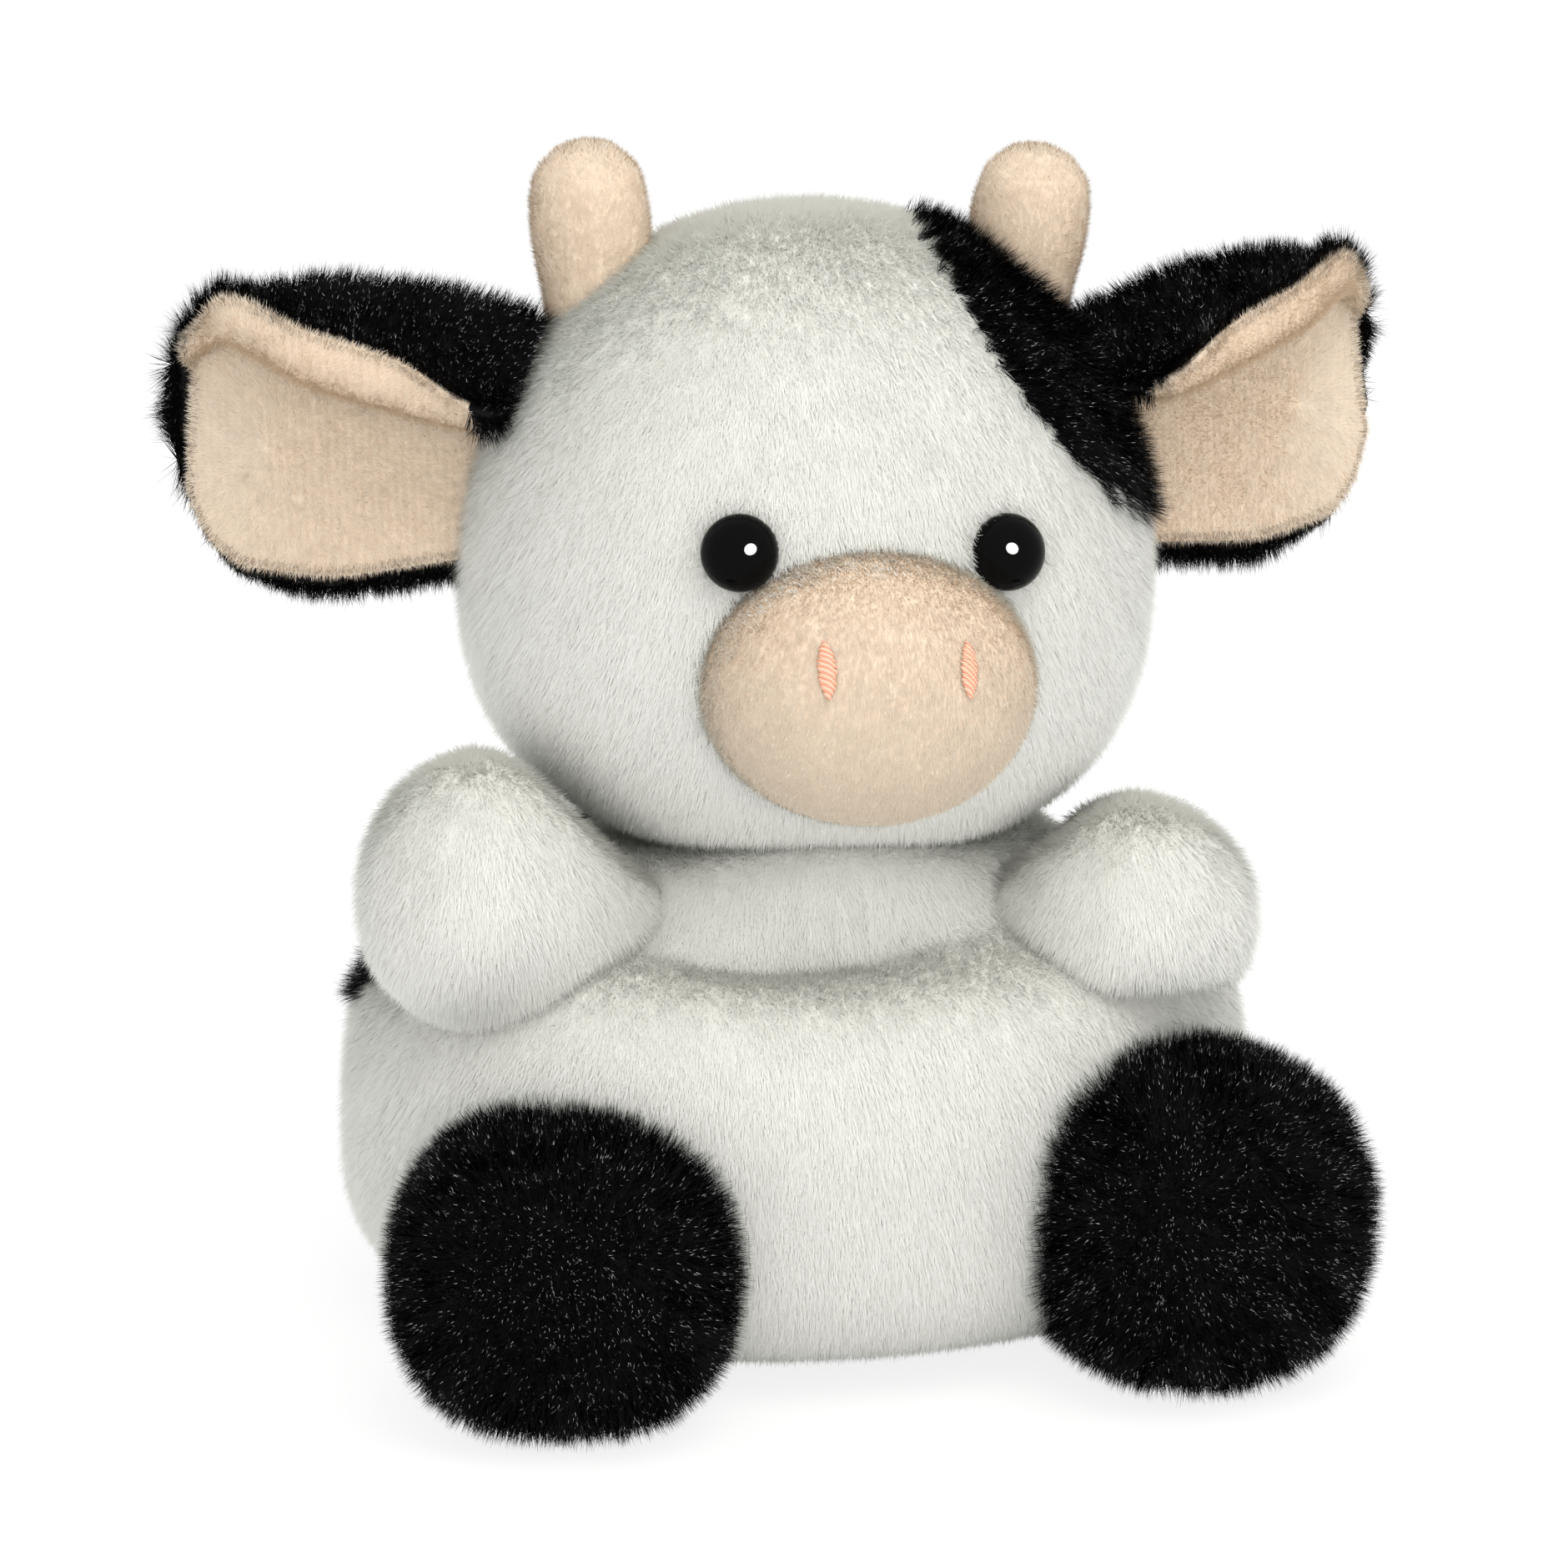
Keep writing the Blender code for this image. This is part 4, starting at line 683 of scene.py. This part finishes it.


# A diagonal wave gives the satin thread its twisted relief, and paints its bands a paler coral as a painted sheen.
thread = Graph("coral_satin", (0.85, 0.36, 0.25), 0.28)
twist_and_sheen = thread.node(
    "ShaderNodeTexWave", thread.place, bands_direction="DIAGONAL", output=1, sockets={"Scale": 900.0}
)
thread.paint(thread.mix(twist_and_sheen.ramp(0.2, 0.8), (0.80, 0.34, 0.22), (0.93, 0.58, 0.43)))
thread.bump(twist_and_sheen, 0.05)
NOSTRIL_SIDE, NOSTRIL_LIFT, NOSTRIL_HALVES = 6.8, 4.1, (0.85, 2.3)
THREADS, THREAD_RADIUS = 23, 0.17
for label, sign in SIDES.items():
    draw = np.random.default_rng(71)
    threads = []
    for step in np.linspace(-1.0, 1.0, THREADS):
        half = NOSTRIL_HALVES[0] * math.sqrt(max(1 - step * step, 0.12)) * draw.uniform(0.85, 1.1)
        share = np.linspace(-1.0, 1.0, 9)
        side = sign * NOSTRIL_SIDE * muzzle.side[0] + half * share
        lift = NOSTRIL_LIFT + step * NOSTRIL_HALVES[1] + share * 0.22 + draw.normal() * 0.03
        along = dome_front(muzzle, side, lift) + 0.3 + 0.26 * (1 - share**2)
        path = muzzle.root + side[:, None] * muzzle.side + lift[:, None] * muzzle.lift
        threads.append(tube(path + along[:, None] * muzzle.along, THREAD_RADIUS))
    points, faces = joined(threads)
    piece = mesh_piece("nostril_" + label + "_stitch", tilted(points), faces, [thread.material])
    fitted(piece, "coral_thread", "head", "nostril_" + label)


# ---- Eyes ----
# Moulded safety eyes: a glossy black dome on a rim, with a small white dot on the dome towards the nose, a
# painted highlight. The shank goes through the face and is locked behind it by a washer.
eye_finish = Graph("eye_black", (0.003, 0.003, 0.003), 0.12, **{"Specular IOR Level": 0.035})
eye_finish.bump(eye_finish.noise(6.0, 1.0), 0.02, 0.3)
highlight_finish = Graph("eye_painted_highlight", (0.86, 0.86, 0.86), 0.3)
highlight_finish.bump(highlight_finish.noise(0.3, 2.0), 0.01, 0.5)
EYE_DOME, EYE_RIM, HIGHLIGHT_RADIUS = 3.2, -0.6, 0.56
head_solid = Ball(*HEAD_SIZES, 0.0)


def surface_at(ball, side, height):
    """The place on a ball's front at a side and a height, and the way that it faces."""
    aim = np.array([side, -ball.front, height - ball.centre[2]])
    for _ in range(9):
        place = ball.centre + unit(aim) * ball.reach(unit(aim)[None, :])[0]
        aim = aim + (side - place[0], 0.0, height - place[2])
    offset = place - ball.centre
    rise = ball.up if offset[2] > 0 else ball.down
    return place, unit((offset[0] / ball.width**2, offset[1] / ball.front**2, offset[2] / rise**2))


for label, sign in SIDES.items():
    place, facing = surface_at(head_solid, sign * EYE_SIDE, EYE_HEIGHT)
    side = unit(np.cross(facing, UPRIGHT))
    lift = np.cross(side, facing)
    turn = np.arange(64) * 2 * math.pi / 64
    circle = np.cos(turn)[:, None] * side + np.sin(turn)[:, None] * lift
    angles = np.linspace(0.0, math.pi / 2, 20)[1:-1]
    profile = [(-1.3, 3.5), (-1.3, 3.62), (-1.1, EYE_RADIUS), (EYE_RIM, EYE_RADIUS)]
    profile += [(EYE_RIM + EYE_DOME * math.sin(angle), EYE_RADIUS * math.cos(angle)) for angle in angles]
    rings = np.stack([place + facing * along + circle * radius for along, radius in profile])
    points, faces = capped(rings, np.stack([place - facing * 1.3, place + facing * (EYE_RIM + EYE_DOME)]))
    piece = mesh_piece("eye_" + label + "_dome", tilted(points), faces, [eye_finish.material])
    fitted(piece, "eye_plastic", "head", "eye_" + label)

    # The small white disc on the dome towards the nose is a painted highlight.
    across = unit(np.array(LEVEL) - facing[0] * facing)
    spots = np.stack([np.cos(turn[::4]), np.sin(turn[::4])], axis=-1) * HIGHLIGHT_RADIUS
    rows = []
    for share, rise in ((0.15, 0.04), (0.4, 0.04), (0.65, 0.04), (0.85, 0.035), (1.0, 0.0), (1.0, -0.05)):
        spot = np.array([sign * -1.45, 0.4]) + spots * share
        height = EYE_RIM + EYE_DOME * np.sqrt(1 - (spot**2).sum(axis=1) / EYE_RADIUS**2)
        rows.append(place + spot[:, :1] * across + spot[:, 1:] * lift + (height + rise)[:, None] * facing)
    rings = np.stack(rows)
    points, faces = capped(rings, np.stack([rings[0].mean(axis=0), rings[-1].mean(axis=0)]))
    fitted(mesh_piece("eye_" + label + "_painted_highlight", tilted(points), faces, [highlight_finish.material]), "eye_plastic", "head")


# ---- Horns ----
# Fingers of the muzzle's peach velour, each a bag with a round end, stuffed with fibre. They are sewn into
# the crown and lean out.
HORN_ROOT, HORN_LEAN = (20.4, 4.5, 95.0), math.radians(7.0)
for label, sign in SIDES.items():
    name = "horn_" + label
    horn = Limb(
        (sign * HORN_ROOT[0], *HORN_ROOT[1:]), (sign * math.sin(HORN_LEAN), 0.0, math.cos(HORN_LEAN)), BACK,
        (20.9, 6.2, 6.2),
        ((0.0, 0.86), (0.35, 0.92), (0.6, 1.0), (0.8, 0.93), (0.93, 0.62), (1.0, 0.0)), PEACH_INSET,
    )
    dressed(
        name, PEACH, horn.grid(36, 64, head.outside), "head", [name + "_cover"], 81, move=tilted, lean=(0.0, 0.0, 0.7)
    )


# ---- Ears ----
# A back of black plush and a lining of peach velour, sewn rim to rim and turned, with no filling. Each is
# folded forward along its top, and the lining's upper rim rolls up past the fold. Pile stands out of the seam.
EAR_SHARES = (
    # along, height of the fold, drop to the lower rim, wing over the fold, turn of the fold, turn of the curl
    (0.0, 0.66, 0.75, 0.62, 1.0, 0.3),
    (0.13, 0.82, 0.83, 0.96, 0.99, 0.8),
    (0.3, 0.95, 0.92, 1.02, 0.97, 1.0),
    (0.52, 1.0, 1.0, 0.95, 0.94, 1.0),
    (0.7, 0.9, 0.96, 0.74, 0.9, 0.95),
    (0.86, 0.6, 0.78, 0.42, 0.66, 0.5),
    (1.0, 0.1, 0.26, 0.14, 0.2, 0.1),
)
EAR_ROOT = (26.0, 2.0, 88.5)
EAR_LENGTH, EAR_RISE, EAR_DROP, EAR_SPREAD = 39.5, 9.0, 26.3, 14.0
# sweep to the back, climb, wing's width, turn of the fold, turn of the curl
EARS = {"left": (26.0, 6.0, 19.0, 123.0, 136.0), "right": (33.0, -4.0, 20.2, 152.0, 164.0)}
DROPS, WINGS, CURLS, EAR_STEPS, EAR_ROWS, HALF_FINE = 28, 24, 12, 120, 71, 160
TIP_ROWS = {"left": 8, "right": 9}
# shares of the rim from the lower root round the tip, and the length of the pile there
FRINGES = {
    "left": ((0.0, 0.2, 0.28, 0.44, 0.5, 1.0), (0.9, 0.9, 0.1, 0.1, 1.0, 0.9)),
    "right": ((0.0, 0.2, 0.27, 0.34, 0.4, 0.62, 0.7, 1.0), (0.75, 0.75, 0.3, 0.5, 1.15, 1.15, 0.95, 0.9)),
}


def ear_sections(whole_wing, whole_fold, whole_curl):
    """Places in front, rises and headings of the ear's middle sheet, for steps along and columns across it.

    A section starts at the lower rim, rises to the fold, turns forward over it and curls up at its end. Its
    heading is 90 degrees, less the fold's turn past the top, and with the curl's turn at the end.
    """
    rows = curve_through(EAR_SHARES, EAR_STEPS)
    whole = EAR_LENGTH, EAR_RISE, EAR_DROP, whole_wing, whole_fold, whole_curl
    along, fold_rise, drop, wing, fold, curl = (rows * whole).T
    fold, curl = np.radians(fold), np.radians(curl)
    fold_arc = np.minimum(2.6 * fold, wing / 2)
    curl_arc = np.minimum(2.4 * curl, wing * 0.6)
    fine = np.linspace(-1.0, 1.0, 2 * HALF_FINE + 1)[None, :]
    at = np.where(fine < 0, fine * drop[:, None], fine * wing[:, None])
    heading = math.pi / 2 + math.radians(EAR_SPREAD) * np.maximum(0.0, -fine)
    heading = heading - fold[:, None] * smooth_step(at / fold_arc[:, None])
    into_curl = (at - (wing - curl_arc)[:, None]) / (curl_arc * 0.7)[:, None]
    heading = heading + curl[:, None] * smooth_step(into_curl)
    middle = (heading[:, 1:] + heading[:, :-1]) / 2
    front, rise = (
        np.concatenate([np.zeros((EAR_STEPS, 1)), np.cumsum(turn(middle) * np.diff(at), axis=1)], axis=1)
        for turn in (np.cos, np.sin)
    )
    front = front - front[:, HALF_FINE, None]
    rise = rise - rise[:, HALF_FINE, None] + fold_rise[:, None]
    flat = (1 - curl_arc / wing)[:, None]
    column = np.concatenate(
        [
            np.linspace(-1.0, 0.0, DROPS)[None, :] * np.ones_like(flat),
            np.linspace(0.0, 1.0, WINGS + 1)[None, 1:] * flat,
            flat + np.linspace(0.0, 1.0, CURLS + 1)[None, 1:] * (1 - flat),
        ],
        axis=1,
    )
    places = [
        np.stack([np.interp(column[row], fine[0], values[row]) for row in range(EAR_STEPS)])
        for values in (front, rise, heading)
    ]
    return along, *places


def sheet_mesh(outer, inner):
    """A closed skin over both faces of a sheet: its outer grid, its inner grid, and the rims between them."""
    rows, columns = outer.shape[:2]
    ring = np.concatenate([outer, inner[:, ::-1]], axis=1)
    points, faces = ring.reshape(-1, 3), wrap_faces(rows, 2 * columns)
    caps = []
    for base in (0, (rows - 1) * 2 * columns):
        at = np.arange(columns - 1)
        a, b = base + at, base + at + 1
        c, d = base + 2 * columns - 2 - at, base + 2 * columns - 1 - at
        cap = np.concatenate([np.stack([a, b, c], axis=-1), np.stack([a, c, d], axis=-1)])
        caps.append(cap[:, ::-1] if base == 0 else cap)
    return points, outward(points, np.concatenate([faces, *caps]))


def facing_out(grid, away):
    """The grid's points and triangles, turned to face the way that away points."""
    points, faces = grid.reshape(-1, 3), wrap_faces(*grid.shape[:2], closed=False)
    normals = vertex_normals(points, faces)
    return points, faces if (normals * away.reshape(-1, 3)).sum() > 0 else faces[:, ::-1]


ribbed = Graph("ear_velour", PEACH_PATCHES[1], 0.9)
rib = ribbed.node(
    "ShaderNodeTexWave", ribbed.place, bands_direction="X", output=1, sockets={"Scale": 420.0, "Distortion": 2.0}
)
speck = ribbed.noise(0.25, 4.0)
ribbed.paint(ribbed.mix((rib * 0.3 + speck).ramp(0.35, 0.95), *PEACH_PATCHES))
ribbed.bump(rib * 0.4 + speck, 0.1)
RIM_STEP = 3
ROOT_SHARES, ROOT_WING = {"left": 0.09, "right": 0.17}, DROPS + 4
# The ears' nap is the peach fibre painted lighter, as painted light on the ears; its last shade is a pale painted
# glint.
EAR_PAINTED_LIGHT_SHADES = [(0.88, 0.75, 0.61), (0.91, 0.79, 0.65), (0.93, 0.82, 0.69), (1.0, 0.96, 0.9)]
EAR_NAP_PAINTED_LIGHT = fibre_materials("ear_nap", EAR_PAINTED_LIGHT_SHADES, 0.6, 0.3)
BACK_OUTER, BACK_INNER, LINING_OUTER, LINING_INNER, SEAM_LEVEL = -0.7, -0.1, 0.9, 0.0, -0.4


def rim_of(grid):
    """The free rim of a sheet's grid, from the root's lower corner round the tip to its upper corner.

    Gives the points, the way out of the sheet at each, and the share of the whole rim that lies before it.
    """
    edge = np.concatenate([grid[:, 0], grid[-1, 1:], grid[-2::-1, -1]])
    inner = np.concatenate([grid[:, RIM_STEP], grid[-1 - RIM_STEP, 1:], grid[-2::-1, -1 - RIM_STEP]])
    share = np.concatenate([[0.0], np.cumsum(np.linalg.norm(np.diff(edge, axis=0), axis=1))])
    return edge, unit(edge - inner), share


def limb_way(sign, turn, rise):
    """The way out of the body at a turn from its side to the front, and a rise, in degrees."""
    turn, rise = math.radians(turn), math.radians(rise)
    return np.array([sign * math.cos(turn) * math.cos(rise), -math.sin(turn) * math.cos(rise), math.sin(rise)])


for label, sign in SIDES.items():
    name = "ear_" + label
    sweep, climb, *shape = EARS[label]
    out = limb_way(sign, -sweep, climb)
    up = unit(np.array(UPRIGHT) - out[2] * out)
    face = np.cross(out, up) * sign
    face = face if face[1] < 0 else -face
    root = np.array([sign * EAR_ROOT[0], *EAR_ROOT[1:]])
    along, front, rise, heading = ear_sections(*shape)

    def ear_sheet(level):
        """The middle sheet moved by a level towards its lining side."""
        x, z = front + level * np.sin(heading), rise - level * np.cos(heading)
        return root + along[:, None, None] * out + x[..., None] * face + z[..., None] * up

    middle_sheet = ear_sheet(0.0)
    buried = head.outside(middle_sheet) < -SEAM_DEPTH
    last = np.where(buried.any(axis=0), EAR_STEPS - 1 - np.argmax(buried[::-1], axis=0), 0)
    row = last[None, :] + (EAR_STEPS - 1 - last[None, :]) * np.linspace(0.0, 1.0, EAR_ROWS)[:, None]

    def picked(sheet):
        """Rows of the sheet that start where it leaves the head."""
        under = np.minimum(row.astype(int), EAR_STEPS - 2)
        part = (row - under)[..., None]
        low, high = (np.take_along_axis(sheet, (under + i)[..., None], axis=0) for i in (0, 1))
        return low * (1 - part) + high * part

    back, inner_back = picked(ear_sheet(BACK_OUTER)), picked(ear_sheet(BACK_INNER))
    lining, inner_lining = (
        picked(ear_sheet(level))[:-TIP_ROWS[label], 1:] for level in (LINING_OUTER, LINING_INNER)
    )
    points, faces = sheet_mesh(back, inner_back)
    skin_over(name + "_back_skin", BLACK, tilted(points), faces, name, ["ear_back_" + label])
    points, faces = sheet_mesh(lining, inner_lining)
    piece = skin_over(name + "_lining_skin", PEACH, tilted(points), faces, name, ["ear_lining_" + label])
    piece.data.materials[0] = ribbed.material
    piece.data.materials.append(SKINS[BLACK])

    def dressed_black(at, column):
        """The lining's wing is black at its root."""
        return (at < lining.shape[0] * ROOT_SHARES[label]) & (column >= ROOT_WING)

    face_row, face_column = np.divmod(faces.min(axis=1), 2 * lining.shape[1])
    mirrored = np.minimum(face_column, 2 * lining.shape[1] - 1 - face_column)
    piece.data.polygons.foreach_set("material_index", dressed_black(face_row, mirrored).astype(np.int32))
    centre = middle_sheet[EAR_STEPS // 2, DROPS // 2]

    def to_rim(places, normals):
        """Pile near the rim lies out over it."""
        away = places - centre
        away = away - (away * normals).sum(axis=1)[:, None] * normals
        return unit(away) * 0.6

    points, faces = facing_out(back, back - inner_back)
    coat_over(name + "_back_pile", BLACK, points, faces, name, 91, move=tilted, lean=to_rim, length=0.85)
    points, faces = facing_out(lining, lining - inner_lining)
    face_row, face_column = np.divmod(faces.min(axis=1), lining.shape[1])
    black = dressed_black(face_row, face_column)
    rolled = ~black & (face_column >= DROPS)
    for part, coat, here, seed, lean, length, density in (
        ("root_pile", BLACK, black, 93, (0.0, -0.3, -0.5), 0.9, 1.2),
        ("lining_nap", PEACH, ~black & ~rolled, 92, to_rim, 1.2, 1.0),
        ("roll_nap", PEACH, rolled, 95, to_rim, 1.5, 1.1),
    ):
        piece = coat_over(
            f"{name}_{part}", coat, points, faces[here], name, seed, None, density, tilted, lean=lean, length=length
        )
        # The peach nap on the ears takes the lighter shades, painted light.
        for number, material in enumerate(EAR_NAP_PAINTED_LIGHT if coat == PEACH else ()):
            piece.data.materials[number] = material
    seam = picked(ear_sheet(SEAM_LEVEL))
    for part, coat, grid, per_length, covered, stretch in (
        ("fringe", BLACK, seam, 130.0, 1.0, FRINGES[label]), ("lining_fringe", PEACH, lining, 60.0, 0.9, None)
    ):
        edge, outs, share = rim_of(grid)
        draw = np.random.default_rng(94)
        count = int(share[-1] * per_length * GRAIN)
        at = draw.random(count) * share[-1] * covered
        places, normals = (
            np.stack([np.interp(at, share, values[:, axis]) for axis in range(3)], axis=-1)
            for values in (edge, outs)
        )
        places = places - unit(normals) * draw.uniform(0.0, 1.0, count)[:, None]
        places = places + draw.normal(size=(count, 3)) * 0.12
        length = 1.0 if stretch is None else np.interp(at / share[-1], *stretch)
        shift = tilted(places)
        normals = unit(tilted(places + unit(normals)) - shift)
        fitted(grow(f"{name}_{part}", coat, shift, normals, draw, (0.0, -0.15, 0.0), length), coat, name)


# ---- Feet ----
# Round feet of black plush, stuffed with fibre and sewn to the torso's lower front, where they bend up a
# little. They are flat where they rest.
feet, SOLE = {}, 1.4
for label, (half_height, turn) in {"left": (16.8, 19.0), "right": (15.4, 13.0)}.items():
    sign = SIDES[label]
    foot = feet[label] = Limb(
        (sign * 25.5, -17.0, half_height - 0.5), limb_way(sign, 90.0 - turn, 0.0), UPRIGHT, (35.0, 16.8, half_height),
        ((0.0, 0.72), (0.3, 0.93), (0.55, 1.0), (0.78, 0.96), (0.93, 0.72), (0.99, 0.34), (1.0, 0.0)),
        BLACK_INSET, power=2.4, floor=0.7,
    )
    body = "foot_" + label
    dressed(
        body, BLACK, foot.grid(70, 110, torso.outside), body, [body + "_cover"], 111,
        lambda places, draw: (torso.outside(places) > -COVERED) & (places[:, 2] > SOLE), lean=foot.along * 0.15,
    )


# ---- Arms ----
# Short paws of the white plush, stuffed with fibre and sewn at the shoulders. The head presses them from
# above and the feet from below.
def pressed_by(near, pivot, own, others):
    """A test for coming near a form while the arm swings and it moves, each alone or both at like ends."""
    pairs = [(0.0, 0.0), (own[0], 0.0), (own[1], 0.0), (0.0, others[0]), (0.0, others[1]), *zip(own, others)]
    return lambda points: np.any(
        [near(turned(points, pivot, UPRIGHT, mine), other) for mine, other in pairs], axis=0
    )


ARM_GAP = 1.0
for label, (height, turn, rise, *sizes) in {
    "left": (41.6, 62.0, 4.0, 26.5, 12.8, 12.8), "right": (44.3, 37.0, 14.0, 27.4, 13.2, 14.7)
}.items():
    sign = SIDES[label]
    arm = Limb(
        (sign * 23.0, -9.0, height), limb_way(sign, turn, rise), UPRIGHT, sizes,
        ((0.0, 0.9), (0.3, 0.98), (0.55, 1.0), (0.78, 0.87), (0.94, 0.53), (1.0, 0.0)), WHITE_INSET,
    )
    foot = feet[label]
    pressers = [
        pressed_by(
            lambda points, nod: head_solid.outside(straightened(points, nod)) < ARM_GAP,
            arm.root, ARM_SWING, HEAD_NOD,
        ),
        pressed_by(
            lambda points, lift: foot.covers(turned(points, foot.root, LEVEL, -lift), ARM_GAP),
            arm.root, ARM_SWING, FOOT_LIFT,
        ),
    ]
    body = "arm_" + label
    dressed(
        body, WHITE, arm.grid(60, 96, torso.outside, pressers), body, [body + "_cover"], 101,
        lambda places, draw: (torso.outside(places) > -COVERED) & (head.outside(straightened(places)) > -COVERED),
        lean=combed,
    )


# ---- Tail ----
# A rolled cord of white plush sewn low on the back, with a tuft of black plush sewn over its end. The photo
# doesn't show it, so its form is that of toys of this kind.
TAIL_SLOPE, TUFT_START = math.radians(62.0), 12.6
TAIL_ROOT = np.array([0.0, 33.757, 27.998])
tail_way = np.array([0.0, math.cos(TAIL_SLOPE), -math.sin(TAIL_SLOPE)])
for name, coat, start, sizes, outline, inset, seed, words in (
    (
        "tail_cord", WHITE, 0.0, (13.0, 2.3, 2.3), ((0.0, 1.0), (0.5, 0.94), (0.9, 0.9), (1.0, 0.85)), 0.9, 121,
        {"lean": tail_way * 0.6, "length": 0.5},
    ),
    (
        "tail_tuft", BLACK, TUFT_START, (9.6, 4.0, 4.0),
        ((0.0, 0.5), (0.2, 0.86), (0.5, 1.0), (0.78, 0.8), (0.95, 0.4), (1.0, 0.0)), 1.4, 122,
        {"lean": tail_way * 0.8, "length": 0.8, "density": 1.3},
    ),
):
    part = Limb(TAIL_ROOT + tail_way * start, tail_way, BACK, sizes, outline, inset)
    dressed(name, coat, part.grid(30, 32, torso.outside), "tail", [name], seed, fill=0.9, **words)


# ---- Hidden pieces ----
# Loose fibre in the soft parts, a cloth pouch of pellets in the seat, and the washers that lock the eyes.
# They keep their solids, under materials of their own.
INSIDE = {
    "fibre_fill": cloth_material("fibre_filling", (0.75, 0.75, 0.73), (0.9, 0.9, 0.88), 1.0, 0.8, 0.2),
    "pouch_cloth": cloth_material("pouch_weave", (0.66, 0.66, 0.64), (0.78, 0.78, 0.76), 0.85, 0.4, 0.2),
    "pellet_plastic": cloth_material("pellets", (0.45, 0.47, 0.5), (0.7, 0.72, 0.74), 0.45, 1.6, 0.2),
    "washer_plastic": cloth_material("washer", (0.70, 0.70, 0.68), (0.78, 0.78, 0.76), 0.4, 1.0, 0.2),
}
for subpart in frame["record"]["subparts"]:
    if subpart["material_slot"] in INSIDE:
        for place in frame["nodes"][subpart["node"]].material_slots:
            place.material = INSIDE[subpart["material_slot"]]


# ---- Stage, lights and camera ----
# A white floor and world that keep a soft shadow, one soft box high in front and one low in front, and the
# photo's own view.
def seen_directly(tree):
    """1 for the rays of the camera, of mirrors and of glass, and 0 for the light that lights the cow."""
    path = tree.nodes.new("ShaderNodeLightPath")
    share = path.outputs["Is Camera Ray"]
    for key in ("Is Glossy Ray", "Is Transmission Ray"):
        most = tree.nodes.new("ShaderNodeMath")
        most.operation = "MAXIMUM"
        tree.links.new(share, most.inputs[0])
        tree.links.new(path.outputs[key], most.inputs[1])
        share = most.outputs[0]
    return share


def stage_material(name, shade, share, strength):
    """A pale surface that shows partly as its own light, so that it stays white and keeps the shadow."""
    material = bpy.data.materials.new(name)
    material.use_nodes = True
    tree = material.node_tree
    tree.nodes.clear()
    output, mix = tree.nodes.new("ShaderNodeOutputMaterial"), tree.nodes.new("ShaderNodeMixShader")
    plain, glow = tree.nodes.new("ShaderNodeBsdfDiffuse"), tree.nodes.new("ShaderNodeEmission")
    plain.inputs["Color"].default_value = (shade, shade, shade, 1.0)
    glow.inputs["Strength"].default_value = strength
    scale = tree.nodes.new("ShaderNodeMath")
    scale.operation = "MULTIPLY"
    scale.inputs[1].default_value = share
    tree.links.new(seen_directly(tree), scale.inputs[0])
    tree.links.new(scale.outputs[0], mix.inputs[0])
    tree.links.new(plain.outputs[0], mix.inputs[1])
    tree.links.new(glow.outputs[0], mix.inputs[2])
    tree.links.new(mix.outputs[0], output.inputs["Surface"])
    return material


FLOOR_HALF = 2500.0
floor = mesh_piece(
    "floor", np.array([(-1.0, -1.0, 0.0), (1.0, -1.0, 0.0), (1.0, 1.0, 0.0), (-1.0, 1.0, 0.0)]) * FLOOR_HALF,
    np.array([(0, 1, 2), (0, 2, 3)]), [stage_material("floor_white", 0.85, 0.78, 1.08)], smooth=False,
)

world = bpy.data.worlds.new("studio")
bpy.context.scene.world = world
world.use_nodes = True
tree = world.node_tree
backdrop = tree.nodes["Background"]
backdrop.inputs["Color"].default_value = (0.985, 0.995, 0.985, 1.0)
level = tree.nodes.new("ShaderNodeMapRange")
level.inputs["To Min"].default_value = 0.88
level.inputs["To Max"].default_value = 1.04
tree.links.new(seen_directly(tree), level.inputs["Value"])
tree.links.new(level.outputs[0], backdrop.inputs["Strength"])
target = Vector((0.0, 0.0, 0.052))


def aimed(name, data, azimuth, elevation, distance, aside=0.0):
    """A lamp or a camera that faces the cow. Azimuth 0 is in front and 90 is at the cow's left."""
    thing = bpy.data.objects.new(name, data)
    bpy.context.scene.collection.objects.link(thing)
    turn, rise = math.radians(azimuth), math.radians(elevation)
    away = Vector((math.sin(turn) * math.cos(rise), -math.cos(turn) * math.cos(rise), math.sin(rise)))
    thing.location = target - Vector((math.cos(turn), math.sin(turn), 0.0)) * aside + away * distance
    thing.rotation_euler = (-away).to_track_quat("-Z", "Y").to_euler()
    return thing


def lamp(name, azimuth, elevation, distance, size, watts, colour):
    """A square soft box."""
    light = bpy.data.lights.new(name, "AREA")
    light.shape, light.size, light.energy, light.color = "SQUARE", size, watts, colour
    aimed(name, light, azimuth, elevation, distance).visible_glossy = False


lamp("key_box", 12.0, 62.0, 0.9, 0.55, 3.8, (1.0, 0.98, 0.94))
lamp("fill_box", -4.0, 5.0, 1.1, 0.7, 3.8, (1.0, 0.99, 0.96))

AZIMUTH, ELEVATION, DISTANCE = -12.0, 14.5, 0.75
FRAME_SPAN, ASIDE = 0.1551, 0.00099
camera_data = bpy.data.cameras.new("camera")
camera_data.angle = 2 * math.atan(FRAME_SPAN / 2 / DISTANCE)
bpy.context.scene.camera = aimed("camera", camera_data, AZIMUTH, ELEVATION, DISTANCE, ASIDE)

bpy.context.scene.view_settings.view_transform = "Standard"
